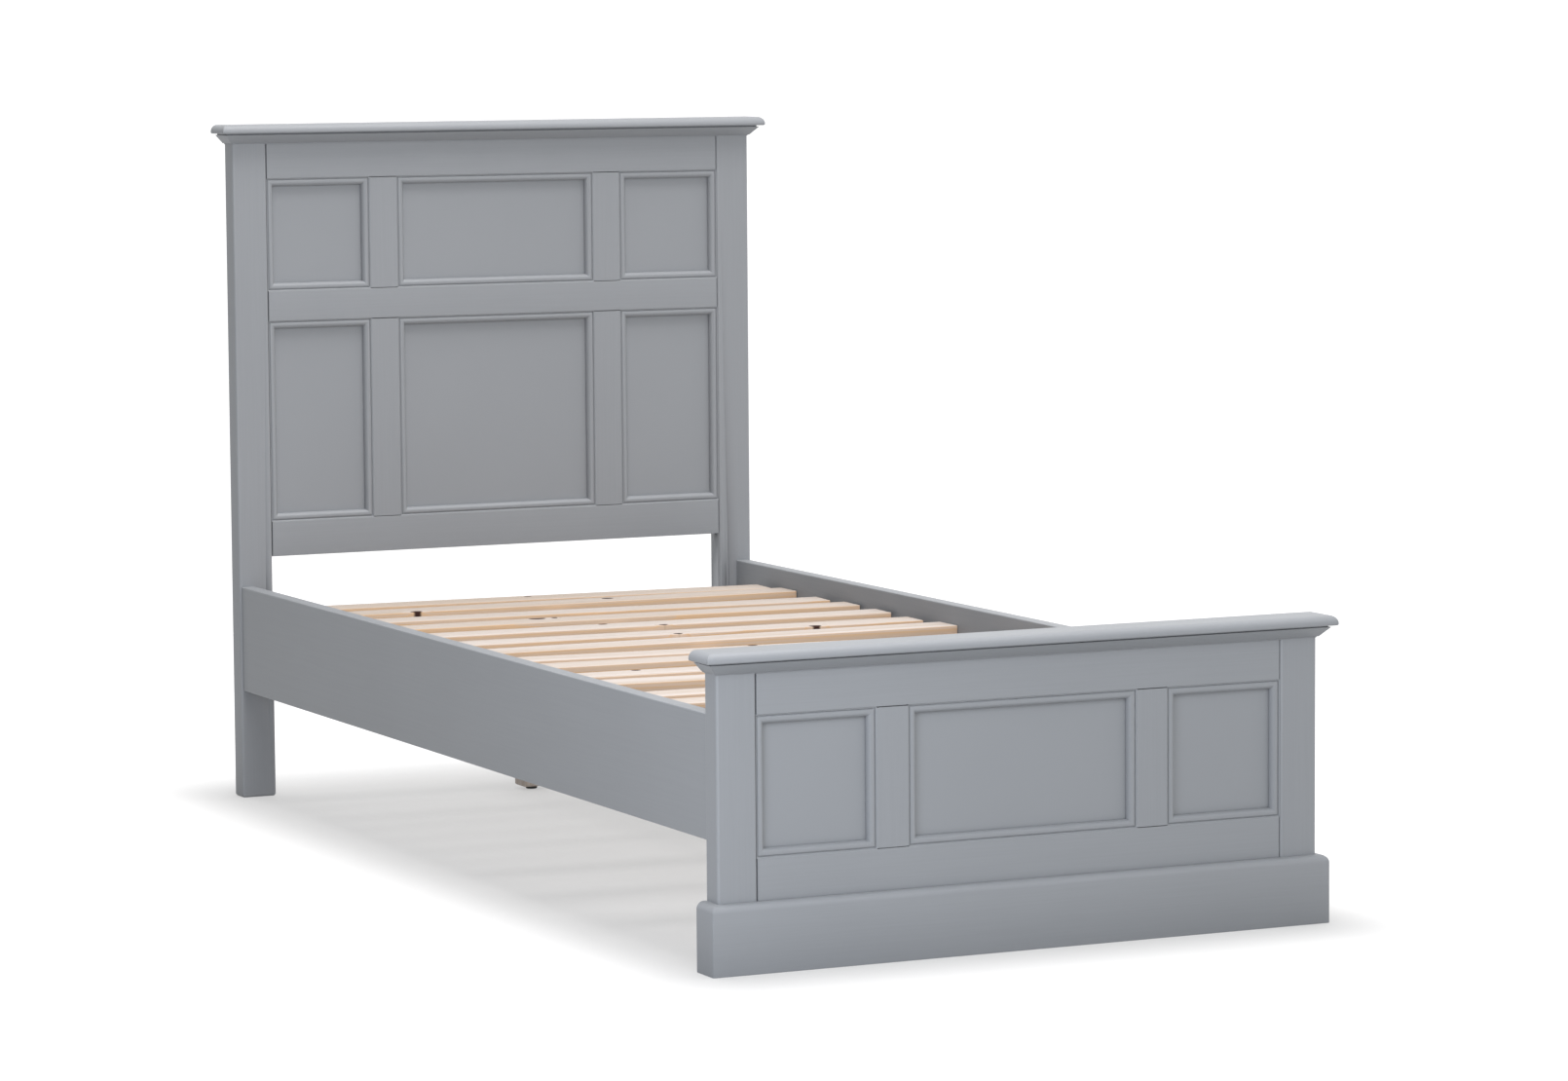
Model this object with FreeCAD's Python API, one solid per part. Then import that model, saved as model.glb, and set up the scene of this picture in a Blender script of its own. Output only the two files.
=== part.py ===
import FreeCAD, Part
import math
import os

from FreeCAD import Vector

# A single panel bed of painted timber: a tall framed headboard, a low framed footboard on a
# plinth, two side rails with ledgers, loose pine slats and a centre rail on two legs.
# Frame: millimetres, +Z up from the floor, +Y towards the headboard, X across.
# The origin is on the floor, in the middle of the bed's overall length and width.

# ---------------------------------------------------------------- driving dimensions
# The well that takes the mattress (900 x 1900, with a little room to tuck the bedding in)
WELL_WIDTH = 915.0
WELL_LENGTH = 1925.0

# Posts
POST_WIDTH = 61.0
POST_DEPTH = 40.0
POST_PROUD = 4.0            # post's outer face beyond the side rail's outer face
POST_ROUND = 4.0
POST_FOOT_CHAMFER = 3.0

# Side rails
SIDE_RAIL_THICKNESS = 24.0
SIDE_RAIL_HEIGHT = 180.0
SIDE_RAIL_UNDERSIDE = 186.0
SIDE_RAIL_ROUND = 2.0

# Frame-and-panel work of both boards
FRAME_THICKNESS = 27.0
FRAME_SET_BACK = 1.0        # frame's face behind the posts' face
FRAME_ROUND = 1.0
MIDDLE_OPENING = 370.0      # width between the two stiles
STILE_WIDTH = 50.5
PANEL_THICKNESS = 9.0
PANEL_RECESS = 11.0         # panel's face behind the frame's face
PANEL_TONGUE = 8.0          # how far a panel or stile reaches into its groove
GROOVE_SPARE = 1.0          # empty depth left at a groove's bottom
JOINT_FIT = 0.1             # clearance on each face of a tenon, tongue or panel
TENON_LENGTH = 25.0
TENON_SHOULDER = 8.0        # tenon's top and bottom, in from the rail's edges
JOINT_LINE_WIDTH = 1.5      # shadow line where a rail meets a post
STILE_LINE_WIDTH = 1.2      # shadow line at a stile's ends
JOINT_LINE_DEPTH = 8.0

# Headboard, from the floor upwards
HEAD_UNDERSIDE = 416.0
HEAD_BOTTOM_RAIL = 60.3
HEAD_LOWER_OPENING = 345.7
HEAD_MID_RAIL = 51.8
HEAD_UPPER_OPENING = 192.9
HEAD_TOP_RAIL = 59.3        # height that shows below the cornice

# Footboard, from the floor upwards
PLINTH_HEIGHT = 101.5
FOOT_BOTTOM_RAIL = 60.0     # height that shows above the plinth
FOOT_RAIL_BEHIND_PLINTH = 39.0
FOOT_OPENING = 203.3
FOOT_TOP_RAIL = 58.7        # height that shows below the cornice

# Bead moulding round each panel
BEAD_WIDTH = 13.5
BEAD_QUIRK = 1.2            # narrow step next to the frame
BEAD_QUIRK_HEIGHT = 7.5
BEAD_SHOULDER_HEIGHT = 9.5
BEAD_TOE_HEIGHT = 3.5
BEAD_SWELL = 3.0            # rise of the bead's curve above its chord

# Cornice and cap of both boards
CORNICE_HEIGHT = 18.5
CORNICE_FOOT_PROUD = 1.5
CORNICE_TOP_PROUD = 16.0
CORNICE_QUIRK_DEPTH = 3.0
CORNICE_QUIRK_HEIGHT = 2.4
CAP_OVERHANG = 24.0
CAP_NOSE_TOP = 11.5         # radius above the nose
CAP_NOSE_UNDER = 2.5        # radius below the nose
CAP_NOSE_FLAT = 1.0

# Plinth
PLINTH_THICKNESS = 15.0
PLINTH_TOP_ROUND = 11.0
PLINTH_FOOT_CHAMFER = 1.0

# Slats and the ledgers that carry them
SLAT_TOP = 334.0
SLAT_THICKNESS = 18.0
SLAT_WIDTH = 65.0
SLAT_ROUND = 1.5
SLAT_END_CLEARANCE = 10.0
FIRST_SLAT = 124.0          # headboard to the middle of the first slat
LAST_SLAT = 115.0           # footboard to the middle of the last slat
LEDGER_WIDTH = 25.0
LEDGER_HEIGHT = 30.0
LEDGER_END_GAP = 10.0

# How the loose slats lie, from the head end to the foot end. Shares of the mean gap between
# slats: how far each is shifted towards the foot, and how much further its right end is
# turned that way. Shares of the room at its ends: how far it has slid to the right.
SLAT_SHIFT = [0.0, -0.56, -0.11, -0.36, -0.23, -0.03, -0.23, 0.32,
              -0.28, 0.05, -0.22, 0.2, -0.24, 0.02, 0.0]
SLAT_TURN = [0.5, 0.12, 0.5, 0.27, 0.27, 0.31, 0.03, 0.6, 0.42, 0.35, 0.62, 0.14, 0.14, 0.1, -0.05]
SLAT_SLIDE = [-0.9, 0.9, -0.5, 0.6, 0.15, -0.6, 0.9, 0.0, -0.3, 0.4, -0.7, 0.2, -0.2, 0.3, 0.0]

# Centre rail on its legs
CENTRE_RAIL_WIDTH = 45.0
CENTRE_RAIL_HEIGHT = 60.0
CENTRE_RAIL_OVERHANG = 60.0
LEG_SIDE = 45.0
LEG_ROUND = 4.0
LEG_FROM_BOARD = 129.0      # leg's middle to the headboard or footboard
FIXED_SLATS = [1, 7, 13]    # the slats that are screwed to the centre rail, counted from 0

# Levelling feet
LEVELLER_RADIUS = 10.0
LEVELLER_HEIGHT = 6.0
LEVELLER_ROUND = 1.5
LEVELLER_FLOOR_GAP = 0.3
STUD_RADIUS = 4.0
STUD_LENGTH = 22.0
STUD_FIT = 0.1
STUD_END_ROOM = 2.0
INSERT_RADIUS = 6.0
INSERT_LENGTH = 15.0

# Corner brackets and their coach screws
BRACKET_THICKNESS = 3.0
BRACKET_HEIGHT = 80.0
BRACKET_ALONG_RAIL = 40.0
BRACKET_EDGE = 3.0          # bracket's free edge, in from the post's inner edge
BRACKET_BELOW_LEDGER = 10.0
BRACKET_HOLE_SPACING = 40.0
BRACKET_CORNER_ROUND = 4.0
COACH_RADIUS = 3.0
COACH_LENGTH = 20.0
COACH_HEAD_FLATS = 10.0
COACH_HEAD_HEIGHT = 4.0
COACH_HOLE_FIT = 0.4

# Wood screws
LEDGER_SCREW_RADIUS = 2.0
LEDGER_SCREW_LENGTH = 40.0
LEDGER_SCREW_HEAD = 4.0
LEDGER_SCREWS = 7
LEDGER_SCREW_FROM_END = 60.0
LONG_SCREW_RADIUS = 2.3
LONG_SCREW_LENGTH = 70.0
LONG_SCREW_HEAD = 4.6
LONG_SCREW_BORE = 5.2
LONG_SCREW_INTO_LEG = 40.0
LONG_SCREW_INTO_SLAT = 15.0
LEG_SCREW_SPACING = 24.0
SCREW_HOLE_FIT = 0.05

LEDGER_SCREW = (LEDGER_SCREW_RADIUS, LEDGER_SCREW_LENGTH, LEDGER_SCREW_HEAD)
LONG_SCREW = (LONG_SCREW_RADIUS, LONG_SCREW_LENGTH, LONG_SCREW_HEAD)

# ---------------------------------------------------------------- places worked out from them
RAIL_INNER = WELL_WIDTH / 2
RAIL_OUTER = RAIL_INNER + SIDE_RAIL_THICKNESS
POST_OUTER = RAIL_OUTER + POST_PROUD
POST_INNER = POST_OUTER - POST_WIDTH
OVERALL_LENGTH = CAP_OVERHANG + 2 * POST_DEPTH + WELL_LENGTH

FOOT_FRONT = -OVERALL_LENGTH / 2 + CAP_OVERHANG
FOOT_BACK = FOOT_FRONT + POST_DEPTH
HEAD_FRONT = FOOT_BACK + WELL_LENGTH
HEAD_BACK = HEAD_FRONT + POST_DEPTH

STILE_INNER = MIDDLE_OPENING / 2
STILE_OUTER = STILE_INNER + STILE_WIDTH
GROOVE_DEPTH = PANEL_TONGUE + GROOVE_SPARE
CAP_THICKNESS = CAP_NOSE_TOP + CAP_NOSE_FLAT + CAP_NOSE_UNDER

HEAD_LOWER_SILL = HEAD_UNDERSIDE + HEAD_BOTTOM_RAIL
HEAD_LOWER_LINTEL = HEAD_LOWER_SILL + HEAD_LOWER_OPENING
HEAD_UPPER_SILL = HEAD_LOWER_LINTEL + HEAD_MID_RAIL
HEAD_UPPER_LINTEL = HEAD_UPPER_SILL + HEAD_UPPER_OPENING
HEAD_CORNICE = HEAD_UPPER_LINTEL + HEAD_TOP_RAIL
HEAD_CAP = HEAD_CORNICE + CORNICE_HEIGHT

FOOT_RAIL_UNDERSIDE = PLINTH_HEIGHT - FOOT_RAIL_BEHIND_PLINTH
FOOT_SILL = PLINTH_HEIGHT + FOOT_BOTTOM_RAIL
FOOT_LINTEL = FOOT_SILL + FOOT_OPENING
FOOT_CORNICE = FOOT_LINTEL + FOOT_TOP_RAIL
FOOT_CAP = FOOT_CORNICE + CORNICE_HEIGHT

SLAT_UNDERSIDE = SLAT_TOP - SLAT_THICKNESS
SLAT_LENGTH = WELL_WIDTH - 2 * SLAT_END_CLEARANCE
LEDGER_INNER = RAIL_INNER - LEDGER_WIDTH
LEDGER_UNDERSIDE = SLAT_UNDERSIDE - LEDGER_HEIGHT

CENTRE_RAIL_UNDERSIDE = SLAT_UNDERSIDE - CENTRE_RAIL_HEIGHT
HEAD_LEG_Y = HEAD_FRONT - LEG_FROM_BOARD
FOOT_LEG_Y = FOOT_BACK + LEG_FROM_BOARD
LEG_UNDERSIDE = LEVELLER_FLOOR_GAP + LEVELLER_HEIGHT

# The three openings across a board: (left edge, right edge)
OPENINGS_ACROSS = {
    "left": (-POST_INNER, -STILE_OUTER),
    "middle": (-STILE_INNER, STILE_INNER),
    "right": (STILE_OUTER, POST_INNER),
}
SIDES = {"left": -1, "right": 1}


# ---------------------------------------------------------------- helpers
def block(x, y, z):
    """A box between two x, two y and two z values, in either order."""
    low = Vector(min(x), min(y), min(z))
    size = Vector(max(x), max(y), max(z)) - low
    return Part.makeBox(size.x, size.y, size.z, low)


def outline(start, steps, place):
    """A face inside a closed outline. A step of two numbers is a straight line to that point,
    and one of four is an arc through the first point to the second. place puts a point of the
    outline into space."""
    edges = []
    here = place(*start)
    for step in steps + [start]:
        there = place(*step[-2:])
        if (there - here).Length < 1e-6:
            continue
        if len(step) == 4:
            edges.append(Part.Arc(here, place(*step[:2]), there).toShape())
        else:
            edges.append(Part.LineSegment(here, there).toShape())
        here = there
    return Part.Face(Part.Wire(edges))


def quarter_middle(centre, radius, angle):
    """The point half way along a quarter arc."""
    turn = math.radians(angle)
    return (centre[0] + radius * math.cos(turn), centre[1] + radius * math.sin(turn))


def edges_along(shape, axis):
    """The straight edges that run along one axis, such as Vector(0, 0, 1)."""
    found = []
    for edge in shape.Edges:
        run = edge.Vertexes[-1].Point - edge.Vertexes[0].Point
        if run.Length > 1e-6 and abs(abs(run.dot(axis)) - run.Length) < 1e-6:
            found.append(edge)
    return found


def edges_at_height(shape, z):
    """The edges that lie wholly at one height."""
    return [e for e in shape.Edges if abs(e.BoundBox.ZMin - z) < 1e-6 and abs(e.BoundBox.ZMax - z) < 1e-6]


def rounded_bar(x, y, z, axis, radius):
    """A box whose four long edges, along one axis, are rounded."""
    bar = block(x, y, z)
    return bar.makeFillet(radius, edges_along(bar, axis))


def cylinder(radius, start, end):
    run = end - start
    return Part.makeCylinder(radius, run.Length, start, run)


def cone(radius_start, radius_end, start, end):
    run = end - start
    return Part.makeCone(radius_start, radius_end, run.Length, start, run)


def save(name, *solids):
    """Write one sub-part, of one solid or of several like ones."""
    shape = solids[0] if len(solids) == 1 else Part.makeCompound(list(solids))
    shape.exportStep("parts/" + name + ".step")


# ---------------------------------------------------------------- screws
def wood_screw(head_centre, direction, shank, length, head):
    """A countersunk screw: its flat head's middle, and the way it points."""
    taper_end = head_centre + direction * (head - shank)
    tip_start = head_centre + direction * (length - 2 * shank)
    tip = head_centre + direction * length
    screw = cone(head, shank, head_centre, taper_end)
    screw = screw.fuse(cylinder(shank, taper_end, tip_start))
    return screw.fuse(cone(shank, shank / 4, tip_start, tip)).removeSplitter()


def wood_screw_hole(head_centre, direction, shank, length, head):
    """The room that a countersunk screw takes."""
    fit = SCREW_HOLE_FIT
    taper_end = head_centre + direction * (head - shank)
    hole = cone(head + fit, shank + fit, head_centre, taper_end)
    return hole.fuse(cylinder(shank + fit, taper_end, head_centre + direction * (length + fit)))


def coach_screw(seat, direction):
    """A hexagon-headed screw: the middle of its head's seat, and the way it points."""
    across = direction.cross(Vector(0, 0, 1)).normalize()
    up = Vector(0, 0, 1)
    corner = COACH_HEAD_FLATS / math.sqrt(3)
    points = []
    for turn in range(7):
        angle = math.radians(60 * turn)
        points.append(seat + across * (corner * math.cos(angle)) + up * (corner * math.sin(angle)))
    head = Part.Face(Part.makePolygon(points)).extrude(direction * -COACH_HEAD_HEIGHT)
    tip_start = seat + direction * (COACH_LENGTH - 2 * COACH_RADIUS)
    shank = cylinder(COACH_RADIUS, seat, tip_start)
    tip = cone(COACH_RADIUS, COACH_RADIUS / 4, tip_start, seat + direction * COACH_LENGTH)
    return head.fuse(shank).fuse(tip).removeSplitter()


def coach_hole(seat, direction):
    """The pilot hole for a coach screw, through its bracket and into the timber."""
    return cylinder(COACH_RADIUS + SCREW_HOLE_FIT, seat, seat + direction * (COACH_LENGTH + SCREW_HOLE_FIT))


# ---------------------------------------------------------------- framed boards
def panel_plane(front):
    """Where a board's panels start and end in Y, from its posts' front face."""
    face = front + FRAME_SET_BACK + PANEL_RECESS
    return face, face + PANEL_THICKNESS


def frame_plane(front):
    face = front + FRAME_SET_BACK
    return face, face + FRAME_THICKNESS


def groove_plane(front):
    low, high = panel_plane(front)
    return low - JOINT_FIT, high + JOINT_FIT


def post(side, front, top, mortises, groove):
    """A post with its mortises and panel groove. mortises and groove are pairs of heights."""
    x = (side * POST_INNER, side * POST_OUTER)
    y = (front, front + POST_DEPTH)
    shape = rounded_bar(x, y, (0, top), Vector(0, 0, 1), POST_ROUND)
    shape = shape.makeChamfer(POST_FOOT_CHAMFER, edges_at_height(shape, 0))
    for low, high in mortises:
        deep = (side * POST_INNER, side * (POST_INNER + TENON_LENGTH + GROOVE_SPARE))
        shape = shape.cut(block(deep, groove_plane(front), (low - JOINT_FIT, high + JOINT_FIT)))
    shallow = (side * POST_INNER, side * (POST_INNER + GROOVE_DEPTH))
    return shape.cut(block(shallow, groove_plane(front), groove))


def tenon_heights(low, high):
    return low + TENON_SHOULDER, high - TENON_SHOULDER


def cross_rail(front, low, high, grooved_edges):
    """A rail from post to post, with a tenon at each end and a groove along the edges that
    hold panels. grooved_edges holds "top", "bottom" or both."""
    span = (-POST_INNER, POST_INNER)
    body = rounded_bar(span, frame_plane(front), (low, high), Vector(1, 0, 0), FRAME_ROUND)
    for side in SIDES.values():
        face = frame_plane(front)[0]
        line = (side * (POST_INNER - JOINT_LINE_WIDTH), side * POST_INNER)
        body = body.cut(block(line, (face, face + JOINT_LINE_DEPTH), (low, high)))
        reach = (side * POST_INNER, side * (POST_INNER + TENON_LENGTH))
        body = body.fuse(block(reach, panel_plane(front), tenon_heights(low, high)))
    if "top" in grooved_edges:
        body = body.cut(block(span, groove_plane(front), (high - GROOVE_DEPTH, high)))
    if "bottom" in grooved_edges:
        body = body.cut(block(span, groove_plane(front), (low, low + GROOVE_DEPTH)))
    return body.removeSplitter()


def stile(side, front, sill, lintel):
    """An upright between two rails, with a tongue at each end and a groove down each edge."""
    x = (side * STILE_INNER, side * STILE_OUTER)
    shape = rounded_bar(x, frame_plane(front), (sill, lintel), Vector(0, 0, 1), FRAME_ROUND)
    face = frame_plane(front)[0]
    for low in (sill, lintel - STILE_LINE_WIDTH):
        shape = shape.cut(block(x, (face, face + JOINT_LINE_DEPTH), (low, low + STILE_LINE_WIDTH)))
    inner_groove = (side * STILE_INNER, side * (STILE_INNER + GROOVE_DEPTH))
    outer_groove = (side * (STILE_OUTER - GROOVE_DEPTH), side * STILE_OUTER)
    shape = shape.cut(block(inner_groove, groove_plane(front), (sill, lintel)))
    shape = shape.cut(block(outer_groove, groove_plane(front), (sill, lintel)))
    core = (side * (STILE_INNER + GROOVE_DEPTH), side * (STILE_OUTER - GROOVE_DEPTH))
    tongues = block(core, panel_plane(front), (sill - PANEL_TONGUE, lintel + PANEL_TONGUE))
    return shape.fuse(tongues).removeSplitter()


def panel(across, front, sill, lintel):
    """A flat panel whose four edges stand in the grooves around its opening."""
    x = (across[0] - PANEL_TONGUE, across[1] + PANEL_TONGUE)
    return block(x, panel_plane(front), (sill - PANEL_TONGUE, lintel + PANEL_TONGUE))


def bead_frame(across, front, sill, lintel):
    """Four mitred lengths of bead moulding, laid on a panel round the edge of its opening."""
    left, right = across
    face = panel_plane(front)[0]
    shoulder = (BEAD_QUIRK, BEAD_SHOULDER_HEIGHT)
    toe = (BEAD_WIDTH, BEAD_TOE_HEIGHT)
    chord = (toe[0] - shoulder[0], toe[1] - shoulder[1])
    length = math.hypot(*chord)
    crest = ((shoulder[0] + toe[0]) / 2 - chord[1] / length * BEAD_SWELL,
             (shoulder[1] + toe[1]) / 2 + chord[0] / length * BEAD_SWELL)
    steps = [(0, BEAD_QUIRK_HEIGHT), (BEAD_QUIRK, BEAD_QUIRK_HEIGHT), shoulder, crest + toe, (BEAD_WIDTH, 0)]
    width, height = right - left, lintel - sill
    lengths = [
        (lambda a, h: Vector(left, face - h, sill + a), Vector(width, 0, 0)),
        (lambda a, h: Vector(left, face - h, lintel - a), Vector(width, 0, 0)),
        (lambda a, h: Vector(left + a, face - h, sill), Vector(0, 0, height)),
        (lambda a, h: Vector(right - a, face - h, sill), Vector(0, 0, height)),
    ]
    inset = BEAD_WIDTH + JOINT_FIT
    corners = [(left, sill), (right, sill), (right, lintel), (left, lintel)]
    inner = [(left + inset, sill + inset), (right - inset, sill + inset),
             (right - inset, lintel - inset), (left + inset, lintel - inset)]
    wedges = [(0, 1), (2, 3), (3, 0), (1, 2)]
    pieces = []
    for (place, run), (first, second) in zip(lengths, wedges):
        moulding = outline((0, 0), steps, place).extrude(run)
        mitre = [corners[first], corners[second], inner[second], inner[first], corners[first]]
        points = [Vector(x, face - PANEL_RECESS, z) for x, z in mitre]
        wedge = Part.Face(Part.makePolygon(points)).extrude(Vector(0, PANEL_RECESS, 0))
        pieces.append(moulding.common(wedge).Solids[0])
    return pieces


def skirt(front, floor, start, steps, reach):
    """Three mitred lengths of moulding round the front and both sides of a board. The section
    is drawn as (outwards, upwards) from the posts' face, and reach is its width."""
    back = front + POST_DEPTH
    span = POST_OUTER + reach
    tall = Vector(0, 0, max(point[-1] for point in steps))
    face = outline(start, steps, lambda o, h: Vector(-span, front - o, floor + h))
    bevel = [Vector(-span, front - reach, floor), Vector(-POST_OUTER, front, floor),
             Vector(POST_OUTER, front, floor), Vector(span, front - reach, floor)]
    wedge = Part.Face(Part.makePolygon(bevel + bevel[:1])).extrude(tall)
    pieces = [face.extrude(Vector(2 * span, 0, 0)).common(wedge).Solids[0]]
    for side in SIDES.values():
        face = outline(start, steps, lambda o, h: Vector(side * (POST_OUTER + o), front - reach, floor + h))
        corners = [(POST_OUTER, front), (span, front - reach), (span, back), (POST_OUTER, back)]
        points = [Vector(side * x, y, floor) for x, y in corners + corners[:1]]
        wedge = Part.Face(Part.makePolygon(points)).extrude(tall)
        pieces.append(face.extrude(Vector(0, back - front + reach, 0)).common(wedge).Solids[0])
    return pieces


def cornice(front, floor):
    """The bevelled moulding under a cap, with a fine quirk along its top."""
    shoulder = CORNICE_HEIGHT - CORNICE_QUIRK_HEIGHT
    neck = CORNICE_TOP_PROUD - CORNICE_QUIRK_DEPTH
    steps = [(CORNICE_FOOT_PROUD, 0), (CORNICE_TOP_PROUD, shoulder), (neck, shoulder),
             (neck, CORNICE_HEIGHT), (0, CORNICE_HEIGHT)]
    return skirt(front, floor, (0, 0), steps, CORNICE_TOP_PROUD)


def plinth():
    """The skirting round the footboard's foot, with a rounded top edge."""
    chamfer = PLINTH_FOOT_CHAMFER
    centre = (PLINTH_THICKNESS - PLINTH_TOP_ROUND, PLINTH_HEIGHT - PLINTH_TOP_ROUND)
    steps = [(PLINTH_THICKNESS - chamfer, 0), (PLINTH_THICKNESS, chamfer),
             (PLINTH_THICKNESS, centre[1]),
             quarter_middle(centre, PLINTH_TOP_ROUND, 45) + (centre[0], PLINTH_HEIGHT),
             (0, PLINTH_HEIGHT)]
    return skirt(FOOT_FRONT, 0, (0, 0), steps, PLINTH_THICKNESS)


def cap(front, floor):
    """A cap board with a rounded nose on its front and ends, flush with the posts behind."""
    top = floor + CAP_THICKNESS
    back = front + POST_DEPTH
    nose = front - CAP_OVERHANG
    end = POST_OUTER + CAP_OVERHANG
    upper, under = top - CAP_NOSE_TOP, floor + CAP_NOSE_UNDER

    def over(edge, inwards, angle):
        """The middle of the round above the nose, whose outermost point is at edge."""
        return quarter_middle((edge + inwards * CAP_NOSE_TOP, upper), CAP_NOSE_TOP, angle)

    def below(edge, inwards, angle):
        """The middle of the round below the nose."""
        return quarter_middle((edge + inwards * CAP_NOSE_UNDER, under), CAP_NOSE_UNDER, angle)

    lengthways = outline(
        (back, floor),
        [(back, top), (nose + CAP_NOSE_TOP, top), over(nose, 1, 135) + (nose, upper),
         (nose, under), below(nose, 1, 225) + (nose + CAP_NOSE_UNDER, floor)],
        lambda y, z: Vector(-end, y, z)).extrude(Vector(2 * end, 0, 0))
    crossways = outline(
        (CAP_NOSE_UNDER - end, floor),
        [below(-end, 1, 225) + (-end, under), (-end, upper),
         over(-end, 1, 135) + (CAP_NOSE_TOP - end, top), (end - CAP_NOSE_TOP, top),
         over(end, -1, 45) + (end, upper), (end, under),
         below(end, -1, 315) + (end - CAP_NOSE_UNDER, floor)],
        lambda x, z: Vector(x, nose, z)).extrude(Vector(0, back - nose, 0))
    return lengthways.common(crossways).Solids[0]


# ---------------------------------------------------------------- fastener places
def bracket_heights():
    top = LEDGER_UNDERSIDE - BRACKET_BELOW_LEDGER
    return top - BRACKET_HEIGHT, top


def coach_places(side, board, inwards):
    """Seats and directions of the four coach screws of one corner bracket. board is the Y of
    the post's face that the rail butts against, and inwards the way from it along the rail."""
    low, high = bracket_heights()
    middle = (low + high) / 2
    reach = POST_WIDTH - POST_PROUD - SIDE_RAIL_THICKNESS - BRACKET_EDGE
    on_post = side * (RAIL_INNER - (reach + BRACKET_THICKNESS) / 2)
    along = board + inwards * (BRACKET_ALONG_RAIL + BRACKET_THICKNESS) / 2
    places = []
    for z in (middle - BRACKET_HOLE_SPACING / 2, middle + BRACKET_HOLE_SPACING / 2):
        places.append((Vector(on_post, board + inwards * BRACKET_THICKNESS, z), Vector(0, -inwards, 0)))
        places.append((Vector(side * (RAIL_INNER - BRACKET_THICKNESS), along, z), Vector(side, 0, 0)))
    return places


CORNERS = [(side, board, inwards) for side in SIDES.values()
           for board, inwards in ((FOOT_BACK, 1), (HEAD_FRONT, -1))]


def ledger_screw_places(side):
    """Head middles and direction of the screws that hold a ledger to its side rail."""
    first = FOOT_BACK + LEDGER_SCREW_FROM_END
    last = HEAD_FRONT - LEDGER_SCREW_FROM_END
    height = LEDGER_UNDERSIDE + LEDGER_HEIGHT / 2
    step = (last - first) / (LEDGER_SCREWS - 1)
    return [(Vector(side * LEDGER_INNER, first + i * step, height), Vector(side, 0, 0))
            for i in range(LEDGER_SCREWS)]


def leg_screw_places(leg_y):
    """The screws down through the centre rail into one leg."""
    head = CENTRE_RAIL_UNDERSIDE - LONG_SCREW_INTO_LEG + LONG_SCREW_LENGTH
    return [(Vector(0, leg_y + offset, head), Vector(0, 0, -1))
            for offset in (-LEG_SCREW_SPACING / 2, LEG_SCREW_SPACING / 2)]


def slat_screw_place(index):
    """The screw up through the centre rail into one slat."""
    head = SLAT_UNDERSIDE + LONG_SCREW_INTO_SLAT - LONG_SCREW_LENGTH
    return Vector(0, slat_middle(index), head), Vector(0, 0, 1)


# ---------------------------------------------------------------- slats
def slat_gap():
    """The mean gap between neighbouring slats."""
    pitch = (WELL_LENGTH - FIRST_SLAT - LAST_SLAT) / (len(SLAT_SHIFT) - 1)
    return pitch - SLAT_WIDTH


def slat_middle(index):
    """Where a slat's middle line crosses the bed's centre line."""
    pitch = slat_gap() + SLAT_WIDTH
    return HEAD_FRONT - FIRST_SLAT - index * pitch - SLAT_SHIFT[index] * slat_gap()


def slat(index):
    """One slat, lying on both ledgers as it was left."""
    turn = math.asin(SLAT_TURN[index] * slat_gap() / (SLAT_LENGTH / 2))
    corner = SLAT_WIDTH / 2 * abs(math.sin(turn))
    slide = SLAT_SLIDE[index] * (SLAT_END_CLEARANCE - corner)
    x = (slide - SLAT_LENGTH / 2, slide + SLAT_LENGTH / 2)
    shape = rounded_bar(x, (-SLAT_WIDTH / 2, SLAT_WIDTH / 2), (SLAT_UNDERSIDE, SLAT_TOP),
                        Vector(1, 0, 0), SLAT_ROUND)
    shape.rotate(Vector(0, 0, 0), Vector(0, 0, 1), -math.degrees(turn))
    shape.translate(Vector(0, slat_middle(index), 0))
    if index in FIXED_SLATS:
        head, way = slat_screw_place(index)
        shape = shape.cut(wood_screw_hole(head, way, *LONG_SCREW))
    return shape


# ---------------------------------------------------------------- base
def side_rail(side):
    shape = rounded_bar((side * RAIL_INNER, side * RAIL_OUTER), (FOOT_BACK, HEAD_FRONT),
                        (SIDE_RAIL_UNDERSIDE, SIDE_RAIL_UNDERSIDE + SIDE_RAIL_HEIGHT),
                        Vector(0, 1, 0), SIDE_RAIL_ROUND)
    for corner in CORNERS:
        if corner[0] == side:
            for seat, way in coach_places(*corner)[1::2]:
                shape = shape.cut(coach_hole(seat, way))
    for head, way in ledger_screw_places(side):
        shape = shape.cut(wood_screw_hole(head, way, *LEDGER_SCREW))
    return shape


def ledger(side):
    shape = block((side * LEDGER_INNER, side * RAIL_INNER),
                  (FOOT_BACK + LEDGER_END_GAP, HEAD_FRONT - LEDGER_END_GAP),
                  (LEDGER_UNDERSIDE, SLAT_UNDERSIDE))
    for head, way in ledger_screw_places(side):
        shape = shape.cut(wood_screw_hole(head, way, *LEDGER_SCREW))
    return shape


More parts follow.
